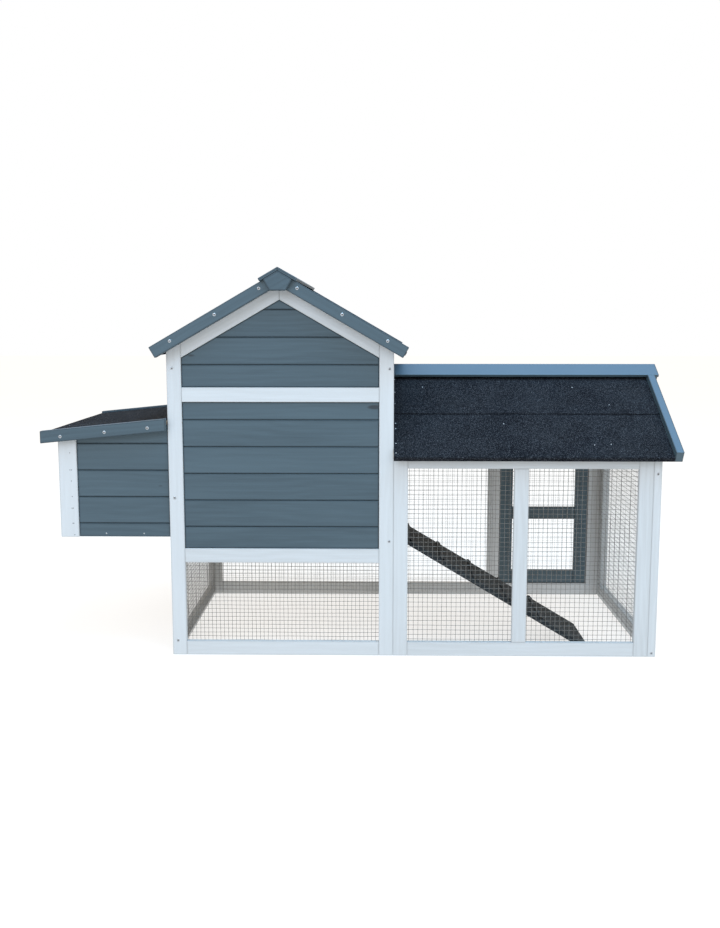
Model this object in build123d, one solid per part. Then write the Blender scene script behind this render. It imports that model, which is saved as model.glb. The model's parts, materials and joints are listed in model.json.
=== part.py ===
"""Chicken coop: a gabled timber house with a nest box on its left and a wire run on its right.

Frame: millimetres, +Z up, the coop stands on Z = 0. +X runs from the nest box to the run,
-Y is the front. The origin is under the middle of the whole coop.
"""

import os
from math import cos, radians, sin, tan

from build123d import *

# ---------------------------------------------------------------- driving dimensions

HOUSE_WIDTH = 700.0  # over the two side walls
RUN_LENGTH = 830.0  # house wall to the outer face of the run's end panel
DEPTH = 780.0  # front face to back face, house and run alike
HOUSE_EAVE_HEIGHT = 968.0  # roof underside over the outer face of the side walls
RUN_EAVE_HEIGHT = 645.0  # roof underside over the run's front and back faces
ROOF_PITCH = 30.0

FRAME_WIDTH = 45.0  # face width of every frame member
PANEL = 18.0  # thickness of the framed wall panels
RUN_END_PANEL = 25.0  # the run's end panel is thicker
RUN_MID_STILE = 375.0  # house wall to the run's middle stile
END_RAIL_DROP = 5.0  # the end panel's rail is lower than the front's
BOARD = 10.0  # tongue-and-groove boards
BOARD_RECESS = 5.0  # board face behind the frame's face
BOARD_PITCH = 84.0  # cover width of one board
FIRST_BOARD = 69.5  # the lowest board above a rail is cut narrower
MESH = 0.8  # welded wire mesh
MESH_TUCK = 35.0  # mesh behind the frame members, all round

FLOOR_RAIL_TOP = 345.0  # house floor level
MID_RAIL_TOP = 851.0
FLOOR = 10.0  # plywood floors
BEARER = 25.0  # battens under the house floor

ROOF_PANEL = 12.0
FELT = 3.0
EAVE_OVERHANG = 45.0  # level, from the wall face to the barge board's upper corner
BARGE_HEIGHT = 37.0
BARGE_THICKNESS = 25.0
HOUSE_BARGE_DROP = 9.0  # barge board below the roof panel's underside
RUN_BARGE_DROP = 3.0
HOUSE_GABLE_OVERHANG = 40.0  # wall face to the barge board's outer face
RUN_GABLE_OVERHANG = 53.0
RIDGE_CAP_WIDTH = 63.0
RIDGE_CAP = 10.0
HOUSE_CAP_SINK = 0.0  # cap's underside below the barge boards' top edge
RUN_CAP_SINK = 10.0
RIDGE_PLATE = 14.0  # plate that covers the joint of two barge boards
RIDGE_PLATE_SHOULDER = 88.0
RIDGE_PLATE_FOOT = 50.0
RIDGE_PLATE_HEIGHT = 59.0
FELT_LAP = 227.0  # lower felt course, measured up the slope

NEST_REACH = 345.0  # nest box outward from the house wall
NEST_INSET = 4.0  # nest box front behind the house front
NEST_DEPTH = DEPTH - 80.0
NEST_BOTTOM = 380.0
NEST_POST_WIDTH = 57.0
NEST_POST = 14.0
NEST_FIRST_BOARD = 44.0
NEST_HEADER_TOP = 760.0
NEST_DIVIDER = 9.0
NEST_DIVIDER_HEIGHT = 170.0
NEST_BAYS = 3
LID_REACH = 392.0  # house wall to the lid's free end
LID_SLOPE = 5.7
LID_EDGE_TOP = 717.0  # top of the lid's side fascias at the free end
LID_FASCIA_HEIGHT = 38.0
LID_FASCIA = 22.0
LID_FASCIA_PROUD = 6.0  # fascia above the lid's felt
LID_GAP = 3.0  # lid to house wall
LID_SIDE_GAP = 4.0  # fascia to nest box wall

DOOR_GAP = 2.0  # around every door
RUN_DOOR_STILE = 48.0
RUN_DOOR_FOOT = 50.0
RUN_DOOR_MID_RAIL = 300.0  # height of the mid rail's lower edge
TRAY_SLOT = 50.0
TRAY_GAP = 2.0
TRAY_SHEET = 1.5
TRAY_WALL = 34.0
TRAY_LIFT = 1.0
HANDLE_LENGTH = 110.0
HANDLE_SECTION = 20.0

POP_HOLE_WIDTH = 250.0
POP_HOLE_SILL = 390.0
POP_HOLE_HEIGHT = 240.0  # the hole stays under the run's eaves
POP_DOOR = 8.0
POP_DOOR_LAP = 10.0
SLIP = 0.5  # clearance of parts that slide or turn past each other
RUNNER_STRIP = 6.0
RUNNER_DEPTH = 12.0

RAMP_WIDTH = 265.0
RAMP_TOP = 393.0
RAMP_SLOPE = 31.0
RAMP_BOARD = 15.0
CLEAT_WIDTH = 15.0
CLEAT_HEIGHT = 4.0
CLEAT_PITCH = 123.0

PIN_RADIUS = 2.0
PIN_CLEARANCE = 0.05
KNUCKLE_RADIUS = 4.0
LID_KNUCKLE_RADIUS = 3.5
HINGE_LENGTH = 60.0
RUN_HINGE_INSET = 120.0  # middle of a hinge from the door's end
HOUSE_HINGE_INSET = 60.0
HINGE_MIDDLE = 20.0  # length of the knuckle in the middle
HINGE_END_GAP = 0.3
HINGE_LEAF = 1.5
LID_LEAF = 1.2
LID_LEAF_WIDTH = 16.0

BUTTON_LENGTH = 80.0
BUTTON_WIDTH = 18.0
BUTTON_THICKNESS = 8.0
BUTTON_SCREW = 2.5
CUT_OVERRUN = 1.0  # holes are cut this far past both faces

SCREW_HEAD = 5.0
SCREW_HEAD_HEIGHT = 1.2
SCREW_SHANK = 2.0
SCREW_LENGTH = 16.0
POST_SCREW_INSET = 17.0  # from the left post's outer edge
RIGHT_SCREW_INSET = 13.0
HINGE_LEAF_WIDTH = FRAME_WIDTH - POST_SCREW_INSET - SCREW_HEAD - 3.0  # clear of the post's screws
LEFT_POST_SCREWS = (47.0, 506.0, 910.0)  # heights of the screws in the frame
RIGHT_POST_SCREWS = (370.0, 908.0)
END_STRIP_SCREWS = (12.0, 585.0)
BARGE_SCREWS = (0.15, 0.51, 0.865)  # shares of the barge board's length, from the eave
BARGE_SCREW_RISE = 2.5  # above the middle of the barge board
LID_SCREWS = (0.16, 0.51, 0.85)  # shares of the lid's reach, from its free end
LID_SCREW_DROP = 23.0  # below the fascia's top

# ---------------------------------------------------------------- places worked out from them

SLOPE = tan(radians(ROOF_PITCH))
PITCH_COS = cos(radians(ROOF_PITCH))
PITCH_SIN = sin(radians(ROOF_PITCH))
LID_TAN = tan(radians(LID_SLOPE))
LID_COS = cos(radians(LID_SLOPE))

TOTAL_LENGTH = LID_REACH + HOUSE_WIDTH + RUN_LENGTH + RUN_GABLE_OVERHANG + RIDGE_PLATE
LEFT = LID_REACH - TOTAL_LENGTH / 2  # house left face
RIGHT = LEFT + HOUSE_WIDTH  # house right face, where the run starts
END = RIGHT + RUN_LENGTH  # run end face
MIDDLE = (LEFT + RIGHT) / 2
FRONT = -DEPTH / 2
BACK = DEPTH / 2
FLOOR_RAIL = FLOOR_RAIL_TOP - FRAME_WIDTH
MID_RAIL = MID_RAIL_TOP - FRAME_WIDTH
RUN_TOP_RAIL = RUN_EAVE_HEIGHT - FRAME_WIDTH
HOUSE_APEX = HOUSE_EAVE_HEIGHT + HOUSE_WIDTH / 2 * SLOPE
RUN_APEX = RUN_EAVE_HEIGHT + DEPTH / 2 * SLOPE
TRAY_SLOT_TOP = FLOOR_RAIL_TOP + TRAY_SLOT
DOOR_SILL_TOP = TRAY_SLOT_TOP + FRAME_WIDTH

parts = {}


def add(name, *solids):
    """Collect solids under one sub-part's name."""
    parts.setdefault(name, []).extend(solids)


def block(x0, x1, y0, y1, z0, z1):
    """A box between two corners."""
    size = Box(x1 - x0, y1 - y0, z1 - z0)
    return Pos((x0 + x1) / 2, (y0 + y1) / 2, (z0 + z1) / 2) * size


def across_y(points, y0, y1):
    """A prism whose outline is given as (x, z) and that runs from y0 to y1."""
    outline = Polyline(*[(x, y0, z) for x, z in points], close=True)
    return extrude(make_face(outline), amount=y1 - y0, dir=(0, 1, 0))


def across_x(points, x0, x1):
    """A prism whose outline is given as (y, z) and that runs from x0 to x1."""
    outline = Polyline(*[(x0, y, z) for y, z in points], close=True)
    return extrude(make_face(outline), amount=x1 - x0, dir=(1, 0, 0))


def board_steps(low, high, first=None):
    """Heights of the board joints between two levels; the first board may be cut narrower."""
    step = low + (first if first else BOARD_PITCH)
    steps = [low]
    while step < high - BOARD / 2:
        steps.append(step)
        step += BOARD_PITCH
    return steps + [high]


def wall_top(distance, eave_height):
    """Roof underside at a level distance inward from the wall's outer face."""
    return eave_height + distance * SLOPE


# ---------------------------------------------------------------- house frame and boards

def house_gable_frame(face, inward):
    """Posts, rails and rafters of the front or back panel; inward is +1 or -1 along Y."""
    y0, y1 = sorted((face, face + inward * PANEL))
    for side, edge in ((1, LEFT), (-1, RIGHT)):
        inner = edge + side * FRAME_WIDTH
        post_top = wall_top(FRAME_WIDTH, HOUSE_EAVE_HEIGHT)
        post = [(edge, 0), (inner, 0), (inner, post_top), (edge, HOUSE_EAVE_HEIGHT)]
        add("house_corner_posts", across_y(post, y0, y1))
        rise = FRAME_WIDTH / PITCH_COS
        rafter = [
            (inner, post_top - rise),
            (MIDDLE, HOUSE_APEX - rise),
            (MIDDLE, HOUSE_APEX),
            (inner, post_top),
        ]
        add("house_rafters", across_y(rafter, y0, y1))
    levels = [0.0, FLOOR_RAIL, MID_RAIL]
    if inward < 0:
        levels.append(TRAY_SLOT_TOP)
    for level in levels:
        x0, x1 = LEFT + FRAME_WIDTH, RIGHT - FRAME_WIDTH
        add("house_gable_rails", block(x0, x1, y0, y1, level, level + FRAME_WIDTH))


def gable_board(low, high, y0, y1):
    """One board under the rafters, clipped to their lower edges."""
    half = HOUSE_WIDTH / 2 - FRAME_WIDTH
    apex = HOUSE_APEX - FRAME_WIDTH / PITCH_COS
    knee = apex - half * SLOPE

    def reach(z):
        return min(half, (apex - z) / SLOPE)

    right = [(MIDDLE + reach(low), low)]
    if low < knee < high:
        right.append((MIDDLE + half, knee))
    if high < apex:
        right.append((MIDDLE + reach(high), high))
        left = [(2 * MIDDLE - x, z) for x, z in reversed(right)]
    else:
        left = [(MIDDLE, apex)] + [(2 * MIDDLE - x, z) for x, z in reversed(right)]
    return across_y(right + left, y0, y1)


def house_gable_boards(name, face, inward, lower):
    """Boards of a gable panel: the gable itself, and the wall under the mid rail if asked."""
    y0, y1 = sorted((face + inward * BOARD_RECESS, face + inward * (BOARD_RECESS + BOARD)))
    apex = HOUSE_APEX - FRAME_WIDTH / PITCH_COS
    steps = board_steps(MID_RAIL_TOP, apex, FIRST_BOARD)
    for low, high in zip(steps, steps[1:]):
        add(name, gable_board(low, high, y0, y1))
    if lower:
        steps = board_steps(FLOOR_RAIL_TOP, MID_RAIL, FIRST_BOARD)
        for low, high in zip(steps, steps[1:]):
            add(name, block(LEFT + FRAME_WIDTH, RIGHT - FRAME_WIDTH, y0, y1, low, high))


house_gable_frame(FRONT, 1)
house_gable_frame(BACK, -1)
house_gable_boards("house_front_boards", FRONT, 1, lower=True)
house_gable_boards("house_back_boards", BACK, -1, lower=False)

SIDE_FRONT = FRONT + PANEL  # the side walls stand between the gable panels
SIDE_BACK = BACK - PANEL
PLATE = HOUSE_EAVE_HEIGHT - FRAME_WIDTH
NEST_FRONT = FRONT + NEST_INSET
NEST_BACK = NEST_FRONT + NEST_DEPTH
NEST_OPENING_BACK = NEST_BACK - NEST_POST
NEST_HEADER = NEST_HEADER_TOP - FRAME_WIDTH
POP_FRONT = SIDE_FRONT + FRAME_WIDTH
POP_BACK = POP_FRONT + POP_HOLE_WIDTH
POP_TOP = POP_HOLE_SILL + POP_HOLE_HEIGHT

for outer, inner in ((LEFT, LEFT + PANEL), (RIGHT, RIGHT - PANEL)):
    x0, x1 = sorted((outer, inner))
    for y0 in (SIDE_FRONT, SIDE_BACK - FRAME_WIDTH):
        add("house_side_stiles", block(x0, x1, y0, y0 + FRAME_WIDTH, 0, PLATE))
    add("house_side_rails", block(x0, x1, SIDE_FRONT, SIDE_BACK, PLATE, HOUSE_EAVE_HEIGHT))
    rail_front, rail_back = SIDE_FRONT + FRAME_WIDTH, SIDE_BACK - FRAME_WIDTH
    add("house_side_rails", block(x0, x1, rail_front, rail_back, FLOOR_RAIL, FLOOR_RAIL_TOP))

# left wall: open to the nest box between a sill and a header
rail_x = (LEFT, LEFT + PANEL)
add("house_side_rails", block(*rail_x, rail_front, rail_back, 0, FRAME_WIDTH))
add(
    "house_side_rails",
    block(*rail_x, rail_front, rail_back, FLOOR_RAIL_TOP, NEST_BOTTOM + FLOOR),
    block(*rail_x, rail_front, rail_back, NEST_HEADER, NEST_HEADER_TOP),
)
board_x = (LEFT + BOARD_RECESS, LEFT + BOARD_RECESS + BOARD)
steps = board_steps(NEST_HEADER_TOP, PLATE)
for low, high in zip(steps, steps[1:]):
    add("house_left_boards", block(*board_x, rail_front, rail_back, low, high))
add(
    "house_left_boards",
    block(*board_x, NEST_OPENING_BACK, rail_back, NEST_BOTTOM + FLOOR, NEST_HEADER),
)

# right wall: pop hole between the front stile and a jamb
rail_x = (RIGHT - PANEL, RIGHT)
add(
    "house_side_rails",
    block(*rail_x, rail_front, rail_back, FLOOR_RAIL_TOP, POP_HOLE_SILL),
    block(*rail_x, rail_front, rail_back, POP_TOP, POP_TOP + FRAME_WIDTH),
    block(*rail_x, POP_BACK, POP_BACK + FRAME_WIDTH, POP_HOLE_SILL, POP_TOP),
)
board_x = (RIGHT - PANEL, RIGHT - PANEL + BOARD)
for level, top, front in (
    (POP_HOLE_SILL, POP_TOP, POP_BACK + FRAME_WIDTH),
    (POP_TOP + FRAME_WIDTH, PLATE, rail_front),
):
    steps = board_steps(level, top)
    for low, high in zip(steps, steps[1:]):
        add("house_right_boards", block(*board_x, front, rail_back, low, high))

# floor on three bearers
floor_top = FLOOR_RAIL_TOP + FLOOR
floor_x = (LEFT + PANEL, RIGHT - PANEL)
add("house_floor", block(*floor_x, SIDE_FRONT, SIDE_BACK, FLOOR_RAIL_TOP, floor_top))
for y in (SIDE_FRONT + MESH_TUCK, 0.0, SIDE_BACK - MESH_TUCK):
    bearer_y = (y - BEARER / 2, y + BEARER / 2)
    add("house_floor_bearers", block(*floor_x, *bearer_y, FLOOR_RAIL_TOP - BEARER, FLOOR_RAIL_TOP))

# mesh under the floor: front, back and left
mesh_x = (LEFT + FRAME_WIDTH - MESH_TUCK / 2, RIGHT - FRAME_WIDTH + MESH_TUCK / 2)
mesh_z = (FRAME_WIDTH - MESH_TUCK, FLOOR_RAIL_TOP - BEARER - MESH)
add(
    "house_mesh",
    block(*mesh_x, SIDE_FRONT, SIDE_FRONT + MESH, *mesh_z),
    block(*mesh_x, SIDE_BACK - MESH, SIDE_BACK, *mesh_z),
    block(
        LEFT + PANEL,
        LEFT + PANEL + MESH,
        SIDE_FRONT + MESH_TUCK / 2,
        SIDE_BACK - MESH_TUCK / 2,
        *mesh_z,
    ),
)

# ---------------------------------------------------------------- run frame

MID_STILE = RIGHT + RUN_MID_STILE
LAST_STILE = END - RUN_END_PANEL - FRAME_WIDTH
RUN_STILES = (RIGHT, MID_STILE, LAST_STILE)

for face, inward in ((FRONT, 1), (BACK, -1)):
    y0, y1 = sorted((face, face + inward * PANEL))
    x0, x1 = RIGHT + FRAME_WIDTH, LAST_STILE
    for x, height in zip(RUN_STILES, (RUN_EAVE_HEIGHT, RUN_TOP_RAIL, RUN_EAVE_HEIGHT)):
        low = 0.0 if height == RUN_EAVE_HEIGHT else FRAME_WIDTH
        add("run_stiles", block(x, x + FRAME_WIDTH, y0, y1, low, height))
    add("run_rails", block(x0, x1, y0, y1, 0, FRAME_WIDTH))
    add("run_rails", block(x0, x1, y0, y1, RUN_TOP_RAIL, RUN_EAVE_HEIGHT))
    add("run_corner_strips", block(END - RUN_END_PANEL, END, y0, y1, 0, RUN_EAVE_HEIGHT))

end_x = (END - RUN_END_PANEL, END)
RAFTER_RISE = FRAME_WIDTH / PITCH_COS
END_RAIL = RUN_TOP_RAIL - END_RAIL_DROP
for side in (1, -1):
    outer = -side * (DEPTH / 2 - PANEL)
    inner = outer + side * FRAME_WIDTH
    outer_top = wall_top(PANEL, RUN_EAVE_HEIGHT)
    inner_top = wall_top(PANEL + FRAME_WIDTH, RUN_EAVE_HEIGHT)
    stile = [(outer, 0), (inner, 0), (inner, inner_top), (outer, outer_top)]
    add("run_end_stiles", across_x(stile, *end_x))
    heel = END_RAIL + FRAME_WIDTH
    heel_y = -side * (DEPTH / 2 - (heel + RAFTER_RISE - RUN_EAVE_HEIGHT) / SLOPE)
    rafter = [
        (inner, heel),
        (heel_y, heel),
        (0, RUN_APEX - RAFTER_RISE),
        (0, RUN_APEX),
        (inner, inner_top),
    ]
    add("run_end_rafters", across_x(rafter, *end_x))
    wall_rafter = [
        (-side * DEPTH / 2, RUN_EAVE_HEIGHT),
        (0, RUN_APEX),
        (0, RUN_APEX - RAFTER_RISE),
        (-side * (DEPTH / 2 - RAFTER_RISE / SLOPE), RUN_EAVE_HEIGHT),
    ]
    add("run_wall_rafters", across_x(wall_rafter, RIGHT, RIGHT + PANEL))

end_y = (SIDE_FRONT + FRAME_WIDTH, SIDE_BACK - FRAME_WIDTH)
add(
    "run_end_rails",
    block(*end_x, *end_y, 0, FRAME_WIDTH),
    block(*end_x, *end_y, END_RAIL, END_RAIL + FRAME_WIDTH),
)

mesh_z = (FRAME_WIDTH - MESH_TUCK, RUN_EAVE_HEIGHT - FRAME_WIDTH + MESH_TUCK)
mesh_end = END - RUN_END_PANEL - 2 * MESH
add(
    "run_mesh",
    block(RIGHT + FRAME_WIDTH - MESH_TUCK, mesh_end, SIDE_FRONT, SIDE_FRONT + MESH, *mesh_z),
    block(
        RIGHT + FRAME_WIDTH - MESH_TUCK,
        MID_STILE + FRAME_WIDTH / 2,
        SIDE_BACK - MESH,
        SIDE_BACK,
        *mesh_z,
    ),
)
mesh_edge = DEPTH / 2 - PANEL - MESH_TUCK / 3
mesh_drop = RAFTER_RISE - MESH_TUCK
end_mesh = [
    (-mesh_edge, mesh_z[0]),
    (mesh_edge, mesh_z[0]),
    (mesh_edge, wall_top(DEPTH / 2 - mesh_edge, RUN_EAVE_HEIGHT) - mesh_drop),
    (0, RUN_APEX - mesh_drop),
    (-mesh_edge, wall_top(DEPTH / 2 - mesh_edge, RUN_EAVE_HEIGHT) - mesh_drop),
]
add("run_mesh", across_x(end_mesh, end_x[0] - MESH, end_x[0]))

# ---------------------------------------------------------------- roofs


def slope_point(along, offset, eave_height):
    """(level distance inward, height) of a point up the slope and square to it."""
    level = along * PITCH_COS - offset * PITCH_SIN
    return level, eave_height + along * PITCH_SIN + offset * PITCH_COS


def roof_layer(half_span, eave_height, eave, low, high, start=None, stop=None):
    """Outline of one slope's layer between two offsets from the roof's underside.

    It runs from the eave, or from start, up to the ridge, or to stop. Distances are
    measured inward from the wall's outer face.
    """
    apex = eave_height + half_span * SLOPE
    foot = eave if start is None else start
    lower = [slope_point(foot, low, eave_height), slope_point(foot, high, eave_height)]
    if stop is not None:
        upper = [slope_point(stop, high, eave_height), slope_point(stop, low, eave_height)]
    else:
        upper = [(half_span, apex + high / PITCH_COS), (half_span, apex + low / PITCH_COS)]
    return lower + upper


def eave_start(barge_top):
    """Distance up the slope at which every layer is cut square, negative outside the wall."""
    return (barge_top * PITCH_SIN - EAVE_OVERHANG) / PITCH_COS


def ridge_plate_outline(cap_underside):
    """Pentagon under the ridge cap, as (level distance from the ridge, height)."""
    shoulder = RIDGE_PLATE_SHOULDER / 2
    foot = RIDGE_PLATE_FOOT / 2
    low = cap_underside - RIDGE_PLATE_HEIGHT
    knee = cap_underside - shoulder * SLOPE
    return [(-foot, low), (foot, low), (shoulder, knee), (0, cap_underside), (-shoulder, knee)]


def build_roof(name, half_span, eave_height, drops, gable_ends, place, prism, laps):
    """Panels, felt, barge boards, ridge caps and end plates of one gable roof.

    drops is (barge board below the panel's underside, cap's underside below the barge
    board's top). gable_ends holds the two ends along the ridge, each with a flag that says
    whether it carries a barge board; place turns a distance inward from one wall into a
    coordinate.
    """
    barge_drop, cap_sink = drops
    barge_top = BARGE_HEIGHT - barge_drop
    cap_seat = barge_top - cap_sink
    eave = eave_start(barge_top)
    felt_top = ROOF_PANEL + FELT
    (low_end, low_barge), (high_end, high_barge) = gable_ends
    body = (
        low_end + (BARGE_THICKNESS if low_barge else 0.0),
        high_end - (BARGE_THICKNESS if high_barge else 0.0),
    )
    cap = (
        low_end - (RIDGE_PLATE if low_barge else 0.0),
        high_end + (RIDGE_PLATE if high_barge else 0.0),
    )
    cap_foot = half_span / PITCH_COS + cap_seat * SLOPE - RIDGE_CAP_WIDTH
    for side in (1, -1):

        def put(outline, ends):
            return prism([(place(side, level), z) for level, z in outline], *ends)

        panel = roof_layer(half_span, eave_height, eave, 0, ROOF_PANEL)
        add(name + "_roof_panels", put(panel, body))
        courses = [(None, None)]
        if laps:
            courses = [(None, eave + FELT_LAP), (eave + FELT_LAP, None)]
        for start, stop in courses:
            felt = roof_layer(half_span, eave_height, eave, ROOF_PANEL, felt_top, start, stop)
            add(name + "_roof_felt", put(felt, body))
        barge = roof_layer(half_span, eave_height, eave, -barge_drop, cap_seat)
        if cap_sink:
            notch = roof_layer(half_span, eave_height, eave, cap_seat, barge_top, stop=cap_foot)
            barge = [barge[0], notch[1], notch[2], notch[3]] + barge[2:]
        if low_barge:
            add(name + "_barge_boards", put(barge, (low_end, low_end + BARGE_THICKNESS)))
        if high_barge:
            add(name + "_barge_boards", put(barge, (high_end - BARGE_THICKNESS, high_end)))
        cap_top = cap_seat + RIDGE_CAP
        cap_outline = roof_layer(half_span, eave_height, eave, cap_seat, cap_top, cap_foot)
        add("ridge_caps", put(cap_outline, cap))
    plate = ridge_plate_outline(eave_height + half_span * SLOPE + cap_seat / PITCH_COS)
    centre = place(1, half_span)
    outline = [(centre + level, z) for level, z in plate]
    if low_barge:
        add("ridge_end_plates", prism(outline, cap[0], low_end))
    if high_barge:
        add("ridge_end_plates", prism(outline, high_end, cap[1]))


build_roof(
    "house",
    HOUSE_WIDTH / 2,
    HOUSE_EAVE_HEIGHT,
    (HOUSE_BARGE_DROP, HOUSE_CAP_SINK),
    ((FRONT - HOUSE_GABLE_OVERHANG, True), (BACK + HOUSE_GABLE_OVERHANG, True)),
    lambda side, level: MIDDLE - side * (HOUSE_WIDTH / 2 - level),
    across_y,
    laps=False,
)
build_roof(
    "run",
    DEPTH / 2,
    RUN_EAVE_HEIGHT,
    (RUN_BARGE_DROP, RUN_CAP_SINK),
    ((RIGHT, False), (END + RUN_GABLE_OVERHANG, True)),
    lambda side, level: -side * (DEPTH / 2 - level),
    across_x,
    laps=True,
)

# ---------------------------------------------------------------- ramp

ramp_slope = tan(radians(RAMP_SLOPE))
ramp_rise = RAMP_BOARD / cos(radians(RAMP_SLOPE))
ramp_centre = POP_FRONT + POP_HOLE_WIDTH / 2
ramp_y = (ramp_centre - RAMP_WIDTH / 2, ramp_centre + RAMP_WIDTH / 2)
tip = RIGHT + (RAMP_TOP - ramp_rise) / ramp_slope
ramp_outline = [
    (RIGHT, RAMP_TOP - ramp_rise),
    (tip, 0),
    (
        tip + RAMP_BOARD * sin(radians(RAMP_SLOPE)),
        RAMP_BOARD * cos(radians(RAMP_SLOPE)),
    ),
    (RIGHT, RAMP_TOP),
]
add("ramp_board", across_y(ramp_outline, *ramp_y))
ramp_length = (RAMP_TOP - ramp_rise) / sin(radians(RAMP_SLOPE))
for i in range(int(ramp_length // CLEAT_PITCH)):
    along = Plane(
        origin=(RIGHT, ramp_centre, RAMP_TOP),
        x_dir=(cos(radians(RAMP_SLOPE)), 0, -sin(radians(RAMP_SLOPE))),
        z_dir=(sin(radians(RAMP_SLOPE)), 0, cos(radians(RAMP_SLOPE))),
    )
    cleat = Box(CLEAT_WIDTH, RAMP_WIDTH, CLEAT_HEIGHT)
    cleat = Pos((i + 0.5) * CLEAT_PITCH, 0, CLEAT_HEIGHT / 2) * cleat
    add("ramp_cleats", along.location * cleat)

# ---------------------------------------------------------------- nest box


def lid_top(reach):
    """Top of the lid's fascias at a level distance outward from the house wall."""
    return LID_EDGE_TOP + (LID_REACH - reach) * LID_TAN


lid_under_drop = (LID_FASCIA_PROUD + FELT + ROOF_PANEL) / LID_COS


def lid_under(reach):
    """Underside of the lid's panel, which the nest box walls are cut to."""
    return lid_top(reach) - lid_under_drop


NEST_LEFT = LEFT - NEST_REACH
post_x = (NEST_LEFT, NEST_LEFT + NEST_POST_WIDTH)
post_tops = (lid_under(NEST_REACH), lid_under(NEST_REACH - NEST_POST_WIDTH))
post_outline = [
    (post_x[0], NEST_BOTTOM),
    (post_x[1], NEST_BOTTOM),
    (post_x[1], post_tops[1]),
    (post_x[0], post_tops[0]),
]
walls = (
    ("nest_front_boards", (NEST_FRONT, NEST_FRONT + NEST_POST)),
    ("nest_back_boards", (NEST_BACK - NEST_POST, NEST_BACK)),
)
for name, (y0, y1) in walls:
    add("nest_posts", across_y(post_outline, y0, y1))
    recess = NEST_POST - BOARD
    board_y = (y0 + recess, y1) if name == "nest_front_boards" else (y0, y1 - recess)
    steps = board_steps(NEST_BOTTOM, lid_under(NEST_REACH), NEST_FIRST_BOARD)
    for low, high in zip(steps, steps[1:-1]):
        add(name, block(post_x[1], LEFT, *board_y, low, high))
    top_board = [
        (post_x[1], steps[-2]),
        (LEFT, steps[-2]),
        (LEFT, lid_under(0)),
        (post_x[1], post_tops[1]),
    ]
    add(name, across_y(top_board, *board_y))

end_board_x = (NEST_LEFT + NEST_POST - BOARD, NEST_LEFT + NEST_POST)
nest_y = (NEST_FRONT + NEST_POST, NEST_BACK - NEST_POST)
steps = board_steps(NEST_BOTTOM, lid_under(NEST_REACH) - BOARD / 2, NEST_FIRST_BOARD)
for low, high in zip(steps, steps[1:]):
    add("nest_end_boards", block(*end_board_x, *nest_y, low, high))
nest_floor_top = NEST_BOTTOM + FLOOR
add("nest_floor", block(NEST_LEFT + NEST_POST, LEFT, *nest_y, NEST_BOTTOM, nest_floor_top))
bay = (nest_y[1] - nest_y[0]) / NEST_BAYS
for i in range(1, NEST_BAYS):
    y = nest_y[0] + i * bay
    divider_y = (y - NEST_DIVIDER / 2, y + NEST_DIVIDER / 2)
    divider_z = (nest_floor_top, nest_floor_top + NEST_DIVIDER_HEIGHT)
    add("nest_dividers", block(NEST_LEFT + NEST_POST, LEFT, *divider_y, *divider_z))


def lid_slab(drop_top, drop_low):
    """Outline between two depths below the fascias' top, square to the lid."""
    ends = (LID_REACH, LID_GAP)
    top = [(LEFT - reach, lid_top(reach) - drop_top / LID_COS) for reach in ends]
    low = [(LEFT - reach, lid_top(reach) - drop_low / LID_COS) for reach in reversed(ends)]
    return top + low


lid_y = (NEST_FRONT - LID_SIDE_GAP, NEST_BACK + LID_SIDE_GAP)
felt_drop = LID_FASCIA_PROUD
panel_drop = LID_FASCIA_PROUD + FELT
add("nest_lid_panel", across_y(lid_slab(panel_drop, panel_drop + ROOF_PANEL), *lid_y))
add("nest_lid_felt", across_y(lid_slab(felt_drop, panel_drop), *lid_y))
for y0 in (lid_y[0] - LID_FASCIA, lid_y[1]):
    fascia = across_y(lid_slab(0, LID_FASCIA_HEIGHT), y0, y0 + LID_FASCIA)
    add("nest_lid_fascias", fascia)

# ---------------------------------------------------------------- doors, tray and pop door

door_y = (BACK - PANEL, BACK)
RUN_DOOR_LEFT = MID_STILE + FRAME_WIDTH + DOOR_GAP
RUN_DOOR_RIGHT = LAST_STILE - DOOR_GAP
run_door_z = (FRAME_WIDTH + DOOR_GAP, RUN_TOP_RAIL - DOOR_GAP)
for x0 in (RUN_DOOR_LEFT, RUN_DOOR_RIGHT - RUN_DOOR_STILE):
    add("run_door_frame", block(x0, x0 + RUN_DOOR_STILE, *door_y, *run_door_z))
rail_x = (RUN_DOOR_LEFT + RUN_DOOR_STILE, RUN_DOOR_RIGHT - RUN_DOOR_STILE)
for low, high in (
    (run_door_z[0], run_door_z[0] + RUN_DOOR_FOOT),
    (RUN_DOOR_MID_RAIL, RUN_DOOR_MID_RAIL + FRAME_WIDTH),
    (run_door_z[1] - FRAME_WIDTH, run_door_z[1]),
):
    add("run_door_frame", block(*rail_x, *door_y, low, high))
tuck = RUN_DOOR_STILE / 2
add(
    "run_door_mesh",
    block(
        RUN_DOOR_LEFT + tuck,
        RUN_DOOR_RIGHT - tuck,
        door_y[0] - MESH,
        door_y[0],
        run_door_z[0] + tuck,
        run_door_z[1] - tuck,
    ),
)

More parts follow.
